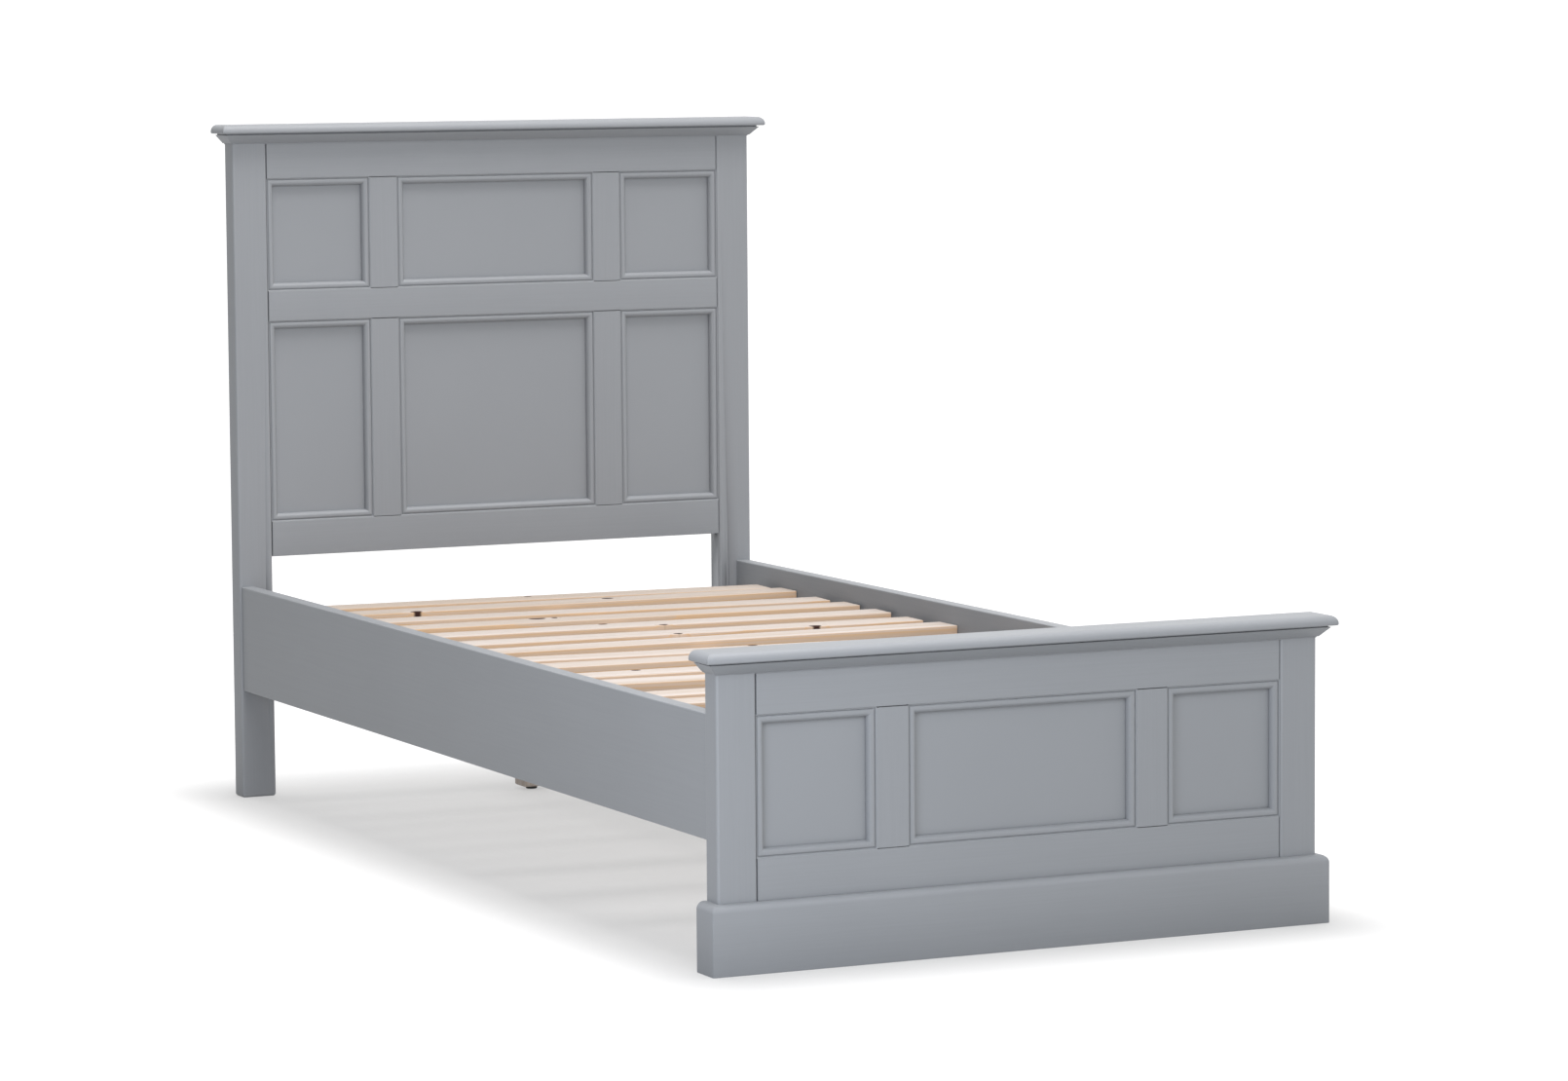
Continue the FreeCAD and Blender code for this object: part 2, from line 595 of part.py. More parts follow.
def corner_bracket(side, board, inwards):
    """A steel angle: one leaf on the post's face, one on the side rail's inner face."""
    reach = POST_WIDTH - POST_PROUD - SIDE_RAIL_THICKNESS - BRACKET_EDGE
    heights = bracket_heights()
    on_post = block((side * RAIL_INNER, side * (RAIL_INNER - reach)),
                    (board, board + inwards * BRACKET_THICKNESS), heights)
    on_rail = block((side * RAIL_INNER, side * (RAIL_INNER - BRACKET_THICKNESS)),
                    (board, board + inwards * BRACKET_ALONG_RAIL), heights)
    ends = [e for e in edges_along(on_rail, Vector(1, 0, 0))
            if abs(e.Vertexes[0].Y - board) > BRACKET_THICKNESS]
    on_rail = on_rail.makeFillet(BRACKET_CORNER_ROUND, ends)
    ends = [e for e in edges_along(on_post, Vector(0, 1, 0))
            if abs(abs(e.Vertexes[0].X) - RAIL_INNER) > BRACKET_THICKNESS]
    on_post = on_post.makeFillet(BRACKET_CORNER_ROUND, ends)
    shape = on_post.fuse(on_rail).removeSplitter()
    for seat, way in coach_places(side, board, inwards):
        shape = shape.cut(cylinder(COACH_RADIUS + COACH_HOLE_FIT, seat, seat + way * BRACKET_THICKNESS))
    return shape


def board_post(side, front, top, mortises, groove, board):
    """A post with the pilot holes for its corner bracket's screws."""
    shape = post(side, front, top, mortises, groove)
    for corner in CORNERS:
        if corner[:2] == (side, board):
            for seat, way in coach_places(*corner)[::2]:
                shape = shape.cut(coach_hole(seat, way))
    return shape


def centre_rail():
    shape = block((-CENTRE_RAIL_WIDTH / 2, CENTRE_RAIL_WIDTH / 2),
                  (FOOT_LEG_Y - CENTRE_RAIL_OVERHANG, HEAD_LEG_Y + CENTRE_RAIL_OVERHANG),
                  (CENTRE_RAIL_UNDERSIDE, SLAT_UNDERSIDE))
    for leg_y in (FOOT_LEG_Y, HEAD_LEG_Y):
        for head, way in leg_screw_places(leg_y):
            shape = shape.cut(wood_screw_hole(head, way, *LONG_SCREW))
            shape = shape.cut(cylinder(LONG_SCREW_BORE, head, Vector(head.x, head.y, SLAT_UNDERSIDE)))
    for index in FIXED_SLATS:
        head, way = slat_screw_place(index)
        shape = shape.cut(wood_screw_hole(head, way, *LONG_SCREW))
        shape = shape.cut(cylinder(LONG_SCREW_BORE, Vector(head.x, head.y, CENTRE_RAIL_UNDERSIDE), head))
    return shape


def leg(leg_y):
    half = LEG_SIDE / 2
    shape = rounded_bar((-half, half), (leg_y - half, leg_y + half), (LEG_UNDERSIDE, CENTRE_RAIL_UNDERSIDE),
                        Vector(0, 0, 1), LEG_ROUND)
    shape = shape.makeChamfer(LEG_ROUND / 2, edges_at_height(shape, LEG_UNDERSIDE))
    foot = Vector(0, leg_y, LEG_UNDERSIDE)
    up = Vector(0, 0, 1)
    shape = shape.cut(cylinder(INSERT_RADIUS, foot, foot + up * INSERT_LENGTH))
    shape = shape.cut(cylinder(STUD_RADIUS + STUD_FIT, foot, foot + up * (STUD_LENGTH + STUD_END_ROOM)))
    for head, way in leg_screw_places(leg_y):
        shape = shape.cut(wood_screw_hole(head, way, *LONG_SCREW))
    return shape


def leg_insert(leg_y):
    """The steel thread in a leg's foot. Its bore runs on the leveller's stud."""
    foot = Vector(0, leg_y, LEG_UNDERSIDE)
    top = foot + Vector(0, 0, INSERT_LENGTH)
    return cylinder(INSERT_RADIUS, foot, top).cut(cylinder(STUD_RADIUS + STUD_FIT, foot, top))


def leveller(leg_y):
    """A nylon foot on a threaded stud, screwed right in."""
    sole = Vector(0, leg_y, LEVELLER_FLOOR_GAP)
    top = Vector(0, leg_y, LEG_UNDERSIDE)
    foot = cylinder(LEVELLER_RADIUS, sole, top)
    foot = foot.makeFillet(LEVELLER_ROUND, edges_at_height(foot, LEVELLER_FLOOR_GAP))
    return foot.fuse(cylinder(STUD_RADIUS, top, top + Vector(0, 0, STUD_LENGTH)))


# ---------------------------------------------------------------- write the sub-parts
def make_headboard():
    rails = {
        "head_bottom_rail": (HEAD_UNDERSIDE, HEAD_LOWER_SILL, ["top"]),
        "head_mid_rail": (HEAD_LOWER_LINTEL, HEAD_UPPER_SILL, ["top", "bottom"]),
        "head_top_rail": (HEAD_UPPER_LINTEL, HEAD_CAP, ["bottom"]),
    }
    rows = {"lower": (HEAD_LOWER_SILL, HEAD_LOWER_LINTEL), "upper": (HEAD_UPPER_SILL, HEAD_UPPER_LINTEL)}
    mortises = [tenon_heights(low, high) for low, high, _ in rails.values()]
    groove = (HEAD_LOWER_SILL - GROOVE_DEPTH, HEAD_UPPER_LINTEL + GROOVE_DEPTH)
    for name, side in SIDES.items():
        save("head_post_" + name, board_post(side, HEAD_FRONT, HEAD_CAP, mortises, groove, HEAD_FRONT))
    for name, (low, high, grooved) in rails.items():
        save(name, cross_rail(HEAD_FRONT, low, high, grooved))
    beads = []
    for row, (sill, lintel) in rows.items():
        for name, side in SIDES.items():
            save("head_stile_" + row + "_" + name, stile(side, HEAD_FRONT, sill, lintel))
        for name, across in OPENINGS_ACROSS.items():
            save("head_panel_" + row + "_" + name, panel(across, HEAD_FRONT, sill, lintel))
            beads += bead_frame(across, HEAD_FRONT, sill, lintel)
    save("head_beads", *beads)
    save("head_cornice", *cornice(HEAD_FRONT, HEAD_CORNICE))
    save("head_cap", cap(HEAD_FRONT, HEAD_CAP))


def make_footboard():
    rails = {
        "foot_bottom_rail": (FOOT_RAIL_UNDERSIDE, FOOT_SILL, ["top"]),
        "foot_top_rail": (FOOT_LINTEL, FOOT_CAP, ["bottom"]),
    }
    mortises = [tenon_heights(low, high) for low, high, _ in rails.values()]
    groove = (FOOT_SILL - GROOVE_DEPTH, FOOT_LINTEL + GROOVE_DEPTH)
    for name, side in SIDES.items():
        save("foot_post_" + name, board_post(side, FOOT_FRONT, FOOT_CAP, mortises, groove, FOOT_BACK))
        save("foot_stile_" + name, stile(side, FOOT_FRONT, FOOT_SILL, FOOT_LINTEL))
    for name, (low, high, grooved) in rails.items():
        save(name, cross_rail(FOOT_FRONT, low, high, grooved))
    beads = []
    for name, across in OPENINGS_ACROSS.items():
        save("foot_panel_" + name, panel(across, FOOT_FRONT, FOOT_SILL, FOOT_LINTEL))
        beads += bead_frame(across, FOOT_FRONT, FOOT_SILL, FOOT_LINTEL)
    save("foot_beads", *beads)
    save("foot_cornice", *cornice(FOOT_FRONT, FOOT_CORNICE))
    save("foot_cap", cap(FOOT_FRONT, FOOT_CAP))
    save("plinth", *plinth())


def make_base():
    for name, side in SIDES.items():
        save("side_rail_" + name, side_rail(side))
        save("slat_ledger_" + name, ledger(side))
    for index in range(len(SLAT_SHIFT)):
        save("slat_" + format(index + 1, "02d"), slat(index))
    save("centre_rail", centre_rail())
    for name, leg_y in (("head", HEAD_LEG_Y), ("foot", FOOT_LEG_Y)):
        save("centre_leg_" + name, leg(leg_y))
        save("leveller_" + name, leveller(leg_y))
    save("leg_inserts", leg_insert(HEAD_LEG_Y), leg_insert(FOOT_LEG_Y))


def make_fasteners():
    save("corner_brackets", *[corner_bracket(*corner) for corner in CORNERS])
    save("bracket_screws", *[coach_screw(seat, way) for corner in CORNERS
                             for seat, way in coach_places(*corner)])
    save("ledger_screws", *[wood_screw(head, way, *LEDGER_SCREW)
                            for side in SIDES.values() for head, way in ledger_screw_places(side)])
    places = leg_screw_places(FOOT_LEG_Y) + leg_screw_places(HEAD_LEG_Y)
    places += [slat_screw_place(index) for index in FIXED_SLATS]
    save("centre_rail_screws", *[wood_screw(head, way, *LONG_SCREW) for head, way in places])


os.makedirs("parts", exist_ok=True)
make_headboard()
make_footboard()
make_base()
make_fasteners()
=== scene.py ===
# %% [markdown]
# # Dressing a painted panel bed
# The CAD frame already holds every board, screw and slat of this bed at its true size. This
# notebook gives those boards their looks: sprayed satin lacquer, planed pine, zinc and nylon,
# with the mouldings, slats and screws grown again by Geometry Nodes, finer than CAD draws them.
# We load the frame first. The dressed bed must stay inside it.

# %% Load the frame
import math

import bmesh
import bpy
from mathutils import Matrix, Vector


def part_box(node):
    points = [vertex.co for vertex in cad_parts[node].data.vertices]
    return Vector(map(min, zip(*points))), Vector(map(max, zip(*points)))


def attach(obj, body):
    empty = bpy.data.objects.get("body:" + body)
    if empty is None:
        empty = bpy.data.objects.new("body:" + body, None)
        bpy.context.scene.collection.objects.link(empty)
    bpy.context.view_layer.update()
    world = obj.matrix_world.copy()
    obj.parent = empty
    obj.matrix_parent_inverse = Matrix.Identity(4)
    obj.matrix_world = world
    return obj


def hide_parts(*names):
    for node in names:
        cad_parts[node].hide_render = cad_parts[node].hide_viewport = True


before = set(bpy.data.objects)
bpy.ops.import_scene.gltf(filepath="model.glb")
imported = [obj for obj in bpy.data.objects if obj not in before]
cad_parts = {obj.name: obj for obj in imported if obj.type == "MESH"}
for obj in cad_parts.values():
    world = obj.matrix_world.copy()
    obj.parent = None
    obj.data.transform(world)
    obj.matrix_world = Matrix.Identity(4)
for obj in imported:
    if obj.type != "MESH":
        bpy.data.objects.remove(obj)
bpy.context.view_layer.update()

MM = 0.001

# %% [markdown]
# ## Small tools for node trees
# Paint makers and photographs both speak in sRGB hex codes, while Blender's shaders work in
# linear light, so one function turns a code into linear numbers. Another builds node trees: it
# adds a node, sets its properties, and fills or links its inputs. The short functions after it
# stand for the nodes that every tree needs again and again: maths, noise, ranges and blends.

# %% Colour and node helpers
def linear(code):
    """An sRGB hex code, such as "#9599a0", as linear red, green, blue and alpha."""
    parts = [int(code[i:i + 2], 16) / 255 for i in (1, 3, 5)]
    return (*[c / 12.92 if c <= 0.04045 else ((c + 0.055) / 1.055) ** 2.4 for c in parts], 1.0)


def add(tree, kind, inputs=None, **settings):
    """A new node. inputs fills sockets, by name or number, with values or with links. What
    comes back are the node's own outputs, by name, and the first of them also as 0."""
    node = tree.nodes.new(kind)
    node.location = (200 * len(tree.nodes), 0)
    for key, value in settings.items():
        setattr(node, key, value)
    live = [socket for socket in node.inputs if socket.enabled]
    for key, value in (inputs or {}).items():
        socket = live[key] if isinstance(key, int) else next(s for s in live if s.name == key)
        for part in value if isinstance(value, list) else [value]:
            if isinstance(part, bpy.types.NodeSocket):
                tree.links.new(part, socket)
            else:
                socket.default_value = part
    outputs = [socket for socket in node.outputs if socket.enabled]
    return {0: outputs[0], **{socket.name: socket for socket in outputs}} if outputs else {}


def maths(tree, operation, *values):
    """What a Math node makes of its numbers."""
    return add(tree, "ShaderNodeMath", dict(enumerate(values)), operation=operation)[0]


def vectors(tree, operation, *values):
    """What a Vector Math node makes of its values."""
    return add(tree, "ShaderNodeVectorMath", dict(enumerate(values)), operation=operation)[0]


def combine(tree, x=0.0, y=0.0, z=0.0):
    """Three numbers put together as a vector."""
    return add(tree, "ShaderNodeCombineXYZ", {"X": x, "Y": y, "Z": z})[0]


def mapped(tree, place, **settings):
    """Coordinates stretched by a Scale, or turned by a Rotation."""
    return add(tree, "ShaderNodeMapping", {"Vector": place, **settings})["Vector"]


def noise(tree, place, scale, detail):
    """Soft noise between 0 and 1."""
    inputs = {"Vector": place, "Scale": scale, "Detail": detail}
    return add(tree, "ShaderNodeTexNoise", inputs)["Fac"]


def remap(tree, value, start, stop, low=0.0, high=1.0, curve="LINEAR"):
    """What runs from start to stop now runs from low to high, and is held there beyond."""
    inputs = {"Value": value, "From Min": start, "From Max": stop, "To Min": low, "To Max": high}
    return add(tree, "ShaderNodeMapRange", inputs, interpolation_type=curve)["Result"]


def blend(tree, factor, first, second):
    """A colour between two others."""
    inputs = {"Factor": factor, "A": first, "B": second}
    return add(tree, "ShaderNodeMix", inputs, data_type="RGBA")["Result"]


def new_material(name, ior=None, metallic=0.0):
    """A material, its node tree and its shader, with the constants on the shader itself."""
    material = bpy.data.materials.new(name)
    material.use_nodes = True
    shader = material.node_tree.nodes["Principled BSDF"]
    shader.inputs["Metallic"].default_value = metallic
    if ior:
        shader.inputs["IOR"].default_value = ior
    return material, material.node_tree, shader


def coat(tree, shader, colour, rough, height, strength, depth):
    """Link colour and roughness to a shader, and a bump of this depth."""
    bump = add(tree, "ShaderNodeBump", {"Height": height, "Strength": strength, "Distance": depth})
    tree.links.new(colour, shader.inputs["Base Color"])
    tree.links.new(rough, shader.inputs["Roughness"])
    tree.links.new(bump["Normal"], shader.inputs["Normal"])


def new_object(name, data):
    """An object, set in the scene at the origin."""
    made = bpy.data.objects.new(name, data)
    bpy.context.scene.collection.objects.link(made)
    return made


print("mid grey #808080 is", round(linear("#808080")[0], 3), "in linear light")

# %% [markdown]
# ## The paint
# The bed is painted in a soft blue-grey satin lacquer, sprayed in several coats and rubbed down
# between them. Up close such a coat has a fine orange peel, it lets a little of the wood's grain
# show through as long, very shallow streaks, and it is a touch lighter on the arrises: partly
# where the sanding block and later hands have rubbed it thin, partly a painted highlight along
# the rounded edges. A single colour would look like plastic, so the recipe has three noises:
# slow clouds for uneven film thickness, stretched streaks for the grain, and fine peel for the
# bump and the sheen. The streaks stay faint, because several sprayed coats have nearly filled
# the grain.
# Fibreboard panels have no grain, so theirs leaves the streaks out.

# %% Satin lacquer
GRAIN_WIDTH = 3.0 * MM       # true pores are about 0.3 mm: drawn coarser so that they show
GRAIN_LENGTH = 160.0 * MM
GRAIN_SHADES = (0.985, 1.01) # how far the grain darkens and lightens the paint
PEEL_SIZE = 2.2 * MM         # true orange peel is about 1 mm: drawn coarser so that it shows
PEEL_DEPTH = 0.2 * MM
CLOUD_SIZE = 240.0 * MM
LACQUER_IOR = 1.5
LACQUER_ROUGH = (0.48, 0.58)
AXES = {"across": 0, "along": 1, "upright": 2}


def satin_lacquer(name, grain, base="#85888c", cloud="#898c90", arris="#929599"):
    """Sprayed lacquer. grain is the way the timber under it runs, or None for fibreboard."""
    material, tree, shader = new_material(name, ior=LACQUER_IOR)
    place = add(tree, "ShaderNodeTexCoord")["Object"]
    clouds = noise(tree, place, 1 / CLOUD_SIZE, 2.0)
    peel = noise(tree, place, 1 / PEEL_SIZE, 1.0)
    colour = blend(tree, clouds, linear(base), linear(cloud))
    height = peel
    if grain:
        scale = [1 / GRAIN_WIDTH] * 3
        scale[AXES[grain]] = 1 / GRAIN_LENGTH
        streaks = noise(tree, mapped(tree, place, Scale=tuple(scale)), 1.0, 2.0)
        colour = vectors(tree, "SCALE", colour, remap(tree, streaks, 0.35, 0.65, *GRAIN_SHADES))
        height = maths(tree, "MULTIPLY_ADD", streaks, 0.7, height)
    # the rounded edges take a lighter colour: partly rubbed wear, partly a painted highlight
    wear_and_highlight_mask = add(tree, "ShaderNodeAttribute", attribute_name="arris")["Fac"]
    worn_and_highlit = blend(tree, maths(tree, "MULTIPLY", wear_and_highlight_mask, clouds), colour, linear(arris))
    sheen = remap(tree, peel, 0.0, 1.0, *LACQUER_ROUGH)
    coat(tree, shader, worn_and_highlit, sheen, height, 0.1, PEEL_DEPTH)
    return material


LACQUER = {
    "upright": satin_lacquer("satin_lacquer_on_upright_timber", "upright"),
    "across": satin_lacquer("satin_lacquer_on_cross_timber", "across"),
    "along": satin_lacquer("satin_lacquer_on_side_timber", "along"),
    "panel": satin_lacquer("satin_lacquer_on_fibreboard", None),
}
print("made", len(LACQUER), "lacquer finishes")

# %% [markdown]
# ## The painted boards
# Posts, rails and stiles keep the exact shape that the CAD gives them, joint lines and all. CAD
# hands over loose triangles, which shade every facet of a rounded edge flat. So each board is
# copied, its triangles are joined up and melted into clean faces, and shading runs smoothly
# over roundings and breaks at true edges. The narrow faces of the roundings are marked in an
# attribute, "arris", which the paint reads for its lighter edges: partly rubbed wear, partly a
# painted highlight.

# %% A clean, smooth-edged copy of a CAD board
JOIN_DISTANCE = 0.002 * MM
FLAT_ANGLE = math.radians(0.5)     # faces as near to one plane as this melt into one
SHARP_ANGLE = math.radians(32)     # an edge that turns by more stays sharp
SQUARE_ON = 0.995                  # a face looks along an axis if its normal does by as much


def clean_copy(node, name, finish):
    """A board's own copy: smooth across roundings, sharp at real edges, and in clean faces."""
    piece = new_object(name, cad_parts[node].data.copy())
    work = bmesh.new()
    work.from_mesh(piece.data)
    bmesh.ops.remove_doubles(work, verts=work.verts, dist=JOIN_DISTANCE)
    bmesh.ops.dissolve_limit(work, angle_limit=FLAT_ANGLE, verts=work.verts, edges=work.edges)
    work.to_mesh(piece.data)
    work.free()
    piece.data.materials.clear()
    piece.data.materials.append(finish)
    piece.data.shade_smooth()
    piece.data.set_sharp_from_angle(angle=SHARP_ANGLE)
    # the narrow faces of the roundings, which the paint shows lighter: partly rubbed wear, partly a
    # painted highlight
    slanted = [float(max(abs(c) for c in face.normal) < SQUARE_ON) for face in piece.data.polygons]
    piece.data.attributes.new("arris", "FLOAT", "FACE").data.foreach_set("value", slanted)
    return piece


def dress(piece, body, slot, *nodes):
    """The piece rides on its body and stands for CAD nodes. slot is not used."""
    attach(piece, body)
    if nodes:
        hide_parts(*nodes)
    return piece


SIDES = ("left", "right")
BOARDS = {
    "upright": [name + side for name in ("head_post_", "foot_post_", "head_stile_upper_",
                                         "head_stile_lower_", "foot_stile_") for side in SIDES],
    "across": ["head_top_rail", "head_mid_rail", "head_bottom_rail", "foot_top_rail",
               "foot_bottom_rail"],
    "along": ["side_rail_" + side for side in SIDES],
    "panel": [name + place for name in ("head_panel_upper_", "head_panel_lower_", "foot_panel_")
              for place in ("left", "middle", "right")],
}
for run, nodes in BOARDS.items():
    for node in nodes:
        board = clean_copy(node, node + "_painted", LACQUER[run])
        dress(board, "bed_frame", "painted_panel" if run == "panel" else "painted_timber", node)
    print(run, "boards:", len(nodes), "- the last has", len(board.data.polygons), "faces")

# %% [markdown]
# ## Growing shapes with Geometry Nodes
# Several parts of the bed follow a rule: a moulding is one section carried round a path with
# mitred corners, slats and screws are one shape set down many times. Each rule becomes a node
# tree with named inputs. One function runs a tree on a throwaway host object and keeps the
# result as a plain mesh, so that nothing live is left on the finished piece.

# %% Run a tree and keep its mesh
def new_tree(name, sockets):
    tree = bpy.data.node_groups.new(name, "GeometryNodeTree")
    tree.interface.new_socket("Geometry", in_out="OUTPUT", socket_type="NodeSocketGeometry")
    for label, kind in sockets.items():
        tree.interface.new_socket(label, in_out="INPUT", socket_type="NodeSocket" + kind)
    return tree, add(tree, "NodeGroupInput")


def end_tree(tree, geometry, finish):
    """Every tree ends the same way: instances made real, and the finish set."""
    real = add(tree, "GeometryNodeRealizeInstances", {"Geometry": geometry})
    done = add(tree, "GeometryNodeSetMaterial", {"Geometry": real["Geometry"], "Material": finish})
    add(tree, "NodeGroupOutput", {"Geometry": done["Geometry"]})


def points(name, places, **attributes):
    """A helper object of loose points. Each attribute is a list with one value for a point."""
    mesh = bpy.data.meshes.new(name)
    mesh.from_pydata([tuple(place) for place in places], [], [])
    for label, values in attributes.items():
        if isinstance(values[0], (int, float)):
            mesh.attributes.new(label, "FLOAT", "POINT").data.foreach_set("value", values)
        else:
            flat = [c for value in values for c in value]
            mesh.attributes.new(label, "FLOAT_VECTOR", "POINT").data.foreach_set("vector", flat)
    return new_object(name, mesh)


def grow(tree, values):
    """Run a tree on a host object, and give back the plain mesh. The helpers are removed."""
    host = points("host", [(0, 0, 0)])
    modifier = host.modifiers.new("grow", "NODES")
    modifier.node_group = tree
    for item in tree.interface.items_tree:
        if item.in_out == "INPUT" and item.name in values:
            modifier[item.identifier] = values[item.name]
    seen = bpy.context.evaluated_depsgraph_get()
    mesh = bpy.data.meshes.new_from_object(host.evaluated_get(seen), depsgraph=seen,
                                           preserve_all_data_layers=True)
    host.modifiers.clear()
    helpers = [value for value in values.values() if isinstance(value, bpy.types.Object)]
    for helper in [host] + helpers:
        bpy.data.objects.remove(helper)
    return mesh


def as_piece(name, meshes, sharp=SHARP_ANGLE):
    """Meshes joined as one closed piece at the origin, its faces turned outwards."""
    work = bmesh.new()
    for mesh in meshes:
        work.from_mesh(mesh)
    bmesh.ops.holes_fill(work, edges=[e for e in work.edges if e.is_boundary], sides=0)
    bmesh.ops.recalc_face_normals(work, faces=work.faces)
    joined = bpy.data.meshes.new(name)
    work.to_mesh(joined)
    work.free()
    for material in meshes[0].materials:
        joined.materials.append(material)
    joined.shade_smooth()
    joined.set_sharp_from_angle(angle=sharp)
    print(name, "has", len(joined.polygons), "faces")
    return new_object(name, joined)


# %% [markdown]
# ## Mouldings
# Beads, cornices, caps and the plinth all come off a spindle moulder: a cutter's section runs
# the length of a strip, and the strips are mitred at the corners. Blender's Curve to Mesh
# pinches a section at a corner, so this tree lays a grid instead. Each row of the grid is a
# point of the section and each column a station on the path, and a station holds its mitre
# direction, which already carries the extra length that a mitre needs. The section is drawn in
# shares of its width and height, which are inputs.

# %% The moulding tree
moulding, take = new_tree("mitred_moulding", {
    "Path": "Object", "Section": "Object", "Width": "Float", "Height": "Float", "Up": "Vector",
    "Finish": "Material"})
path = add(moulding, "GeometryNodeObjectInfo", {"Object": take["Path"]})["Geometry"]
section = add(moulding, "GeometryNodeObjectInfo", {"Object": take["Section"]})["Geometry"]
stations = add(moulding, "GeometryNodeAttributeDomainSize", {"Geometry": path})["Point Count"]
profile = add(moulding, "GeometryNodeAttributeDomainSize", {"Geometry": section})["Point Count"]
grid = add(moulding, "GeometryNodeMeshGrid", {"Vertices X": profile, "Vertices Y": stations})
index = add(moulding, "GeometryNodeInputIndex")["Index"]
row = add(moulding, "FunctionNodeIntegerMath", {0: index, 1: stations}, operation="DIVIDE_FLOOR")
column = add(moulding, "FunctionNodeIntegerMath", {0: index, 1: stations}, operation="MODULO")
where = add(moulding, "GeometryNodeInputPosition")["Position"]
mitre = add(moulding, "GeometryNodeInputNamedAttribute", {"Name": "mitre"},
            data_type="FLOAT_VECTOR")["Attribute"]
samples = {}
for label, source, value, number in (("place", path, where, column),
                                     ("mitre", path, mitre, column),
                                     ("share", section, where, row)):
    inputs = {"Geometry": source, "Value": value, "Index": number["Value"]}
    samples[label] = add(moulding, "GeometryNodeSampleIndex", inputs,
                         data_type="FLOAT_VECTOR")["Value"]
share = add(moulding, "ShaderNodeSeparateXYZ", {0: samples["share"]})
reach = maths(moulding, "MULTIPLY", share["X"], take["Width"])
rise = maths(moulding, "MULTIPLY", share["Y"], take["Height"])
out = vectors(moulding, "SCALE", samples["mitre"], reach)
up = vectors(moulding, "SCALE", take["Up"], rise)
foot = vectors(moulding, "ADD", samples["place"], out)
spot = vectors(moulding, "ADD", foot, up)
laid = add(moulding, "GeometryNodeSetPosition", {"Geometry": grid["Mesh"], "Position": spot})
shut = add(moulding, "GeometryNodeMergeByDistance", {"Geometry": laid["Geometry"],
                                                     "Distance": 0.001 * MM})
end_tree(moulding, shut["Geometry"], take["Finish"])


def run_moulding(shape, route, rise_way=(0, 0, 1), finish=LACQUER["across"]):
    """One run of moulding. shape is in mm, and route is a list of (point, mitre) stations."""
    width, height = (max(side) * MM for side in zip(*shape))
    path_points = points("path", [place for place, _ in route], mitre=[way for _, way in route])
    shares = points("section", [(x * MM / width, y * MM / height, 0) for x, y in shape])
    return grow(moulding, {"Path": path_points, "Section": shares, "Width": width,
                           "Height": height, "Up": rise_way, "Finish": finish})


def fit_moulding(node, meshes, sharp=SHARP_ANGLE):
    """Runs of moulding as one painted piece, in the stead of a CAD node."""
    dress(as_piece(node + "_painted", meshes, sharp), "bed_frame", "painted_timber", node)


print("the moulding tree has", len(moulding.nodes), "nodes")

# %% [markdown]
# ## Beads
# A bead is a small rounded strip pinned round each panel, where frame and panel meet. It starts
# with the frame's eased arris and a narrow step, the quirk, which draws a fine line next to the
# frame. Then it swells on an arc to its crest, about half-way across, and falls as a quarter of
# an ellipse, ever steeper, to the panel. So the side of each bead that faces up is light, the
# side that faces down is dark, and the foot of the curve draws a second dark line on the panel.
# The path is the edge of the opening, measured from the stiles and rails around it.

# %% Bead section
def arc(start, through, end, steps):
    """Points on the circle through three points, from start to end, without start itself."""
    (ax, ay), (bx, by), (cx, cy) = start, through, end
    a, b, c = (x**2 + y**2 for x, y in (start, through, end))
    d = 2 * (ax * (by - cy) + bx * (cy - ay) + cx * (ay - by))
    ux = (a * (by - cy) + b * (cy - ay) + c * (ay - by)) / d
    uy = (a * (cx - bx) + b * (ax - cx) + c * (bx - ax)) / d
    first, middle, last = (math.atan2(y - uy, x - ux) for x, y in (start, through, end))
    if (middle - first) % math.tau > (last - first) % math.tau:
        sweep = -((first - last) % math.tau)
    else:
        sweep = (last - first) % math.tau
    radius = math.hypot(ax - ux, ay - uy)
    turns = [first + sweep * i / steps for i in range(1, steps + 1)]
    return [(ux + radius * math.cos(t), uy + radius * math.sin(t)) for t in turns]


def bend(centre, radius, first, last, steps):
    """Points on a circle from one angle to another, in degrees, without the first of them."""
    turns = [math.radians(first + (last - first) * i / steps) for i in range(1, steps + 1)]
    return [(centre[0] + radius * math.cos(t), centre[1] + radius * math.sin(t)) for t in turns]


# sections are in mm: first how far out, then how far up
BEAD_WIDTH = 13.5
BEAD_FOOT = 1.2              # where the quarter ellipse ends, above the panel
CREST = (6.2, 10.4)
bead = [(0, 0), (0, 10.8), (0.7, 10.5), (1.5, 9.6), (1.6, 8.3), (2.3, 8.2)]
bead += arc((2.3, 8.2), (3.8, 9.8), CREST, 6)
for i in range(1, 13):
    turn = math.pi / 2 * i / 12
    bead.append((CREST[0] + (BEAD_WIDTH - CREST[0]) * math.sin(turn),
                 BEAD_FOOT + (CREST[1] - BEAD_FOOT) * math.cos(turn)))
bead += [(13.2, 0.9), (12.4, 0.8), (12.4, 0), (0, 0)]
print("bead crest stands", round(max(y for _, y in bead), 2), "mm off the panel")

# %% Grow the beads
TONGUE = 8 * MM              # how far a stile's tongues reach into the rails over and under it


def opening(board, across, row):
    """The clear opening of one panel: left, right, sill, lintel and panel face, in metres."""
    tier = row + "_" if row else ""
    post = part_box(board + "_post_" + ("right" if across == "right" else "left"))
    left, right = (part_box(board + "_stile_" + tier + side) for side in SIDES)
    edges = {"left": (post[1].x, left[0].x), "middle": (left[1].x, right[0].x),
             "right": (right[1].x, post[0].x)}
    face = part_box(board + "_panel_" + tier + across)[0].y
    return (*edges[across], left[0].z + TONGUE, left[1].z - TONGUE, face)


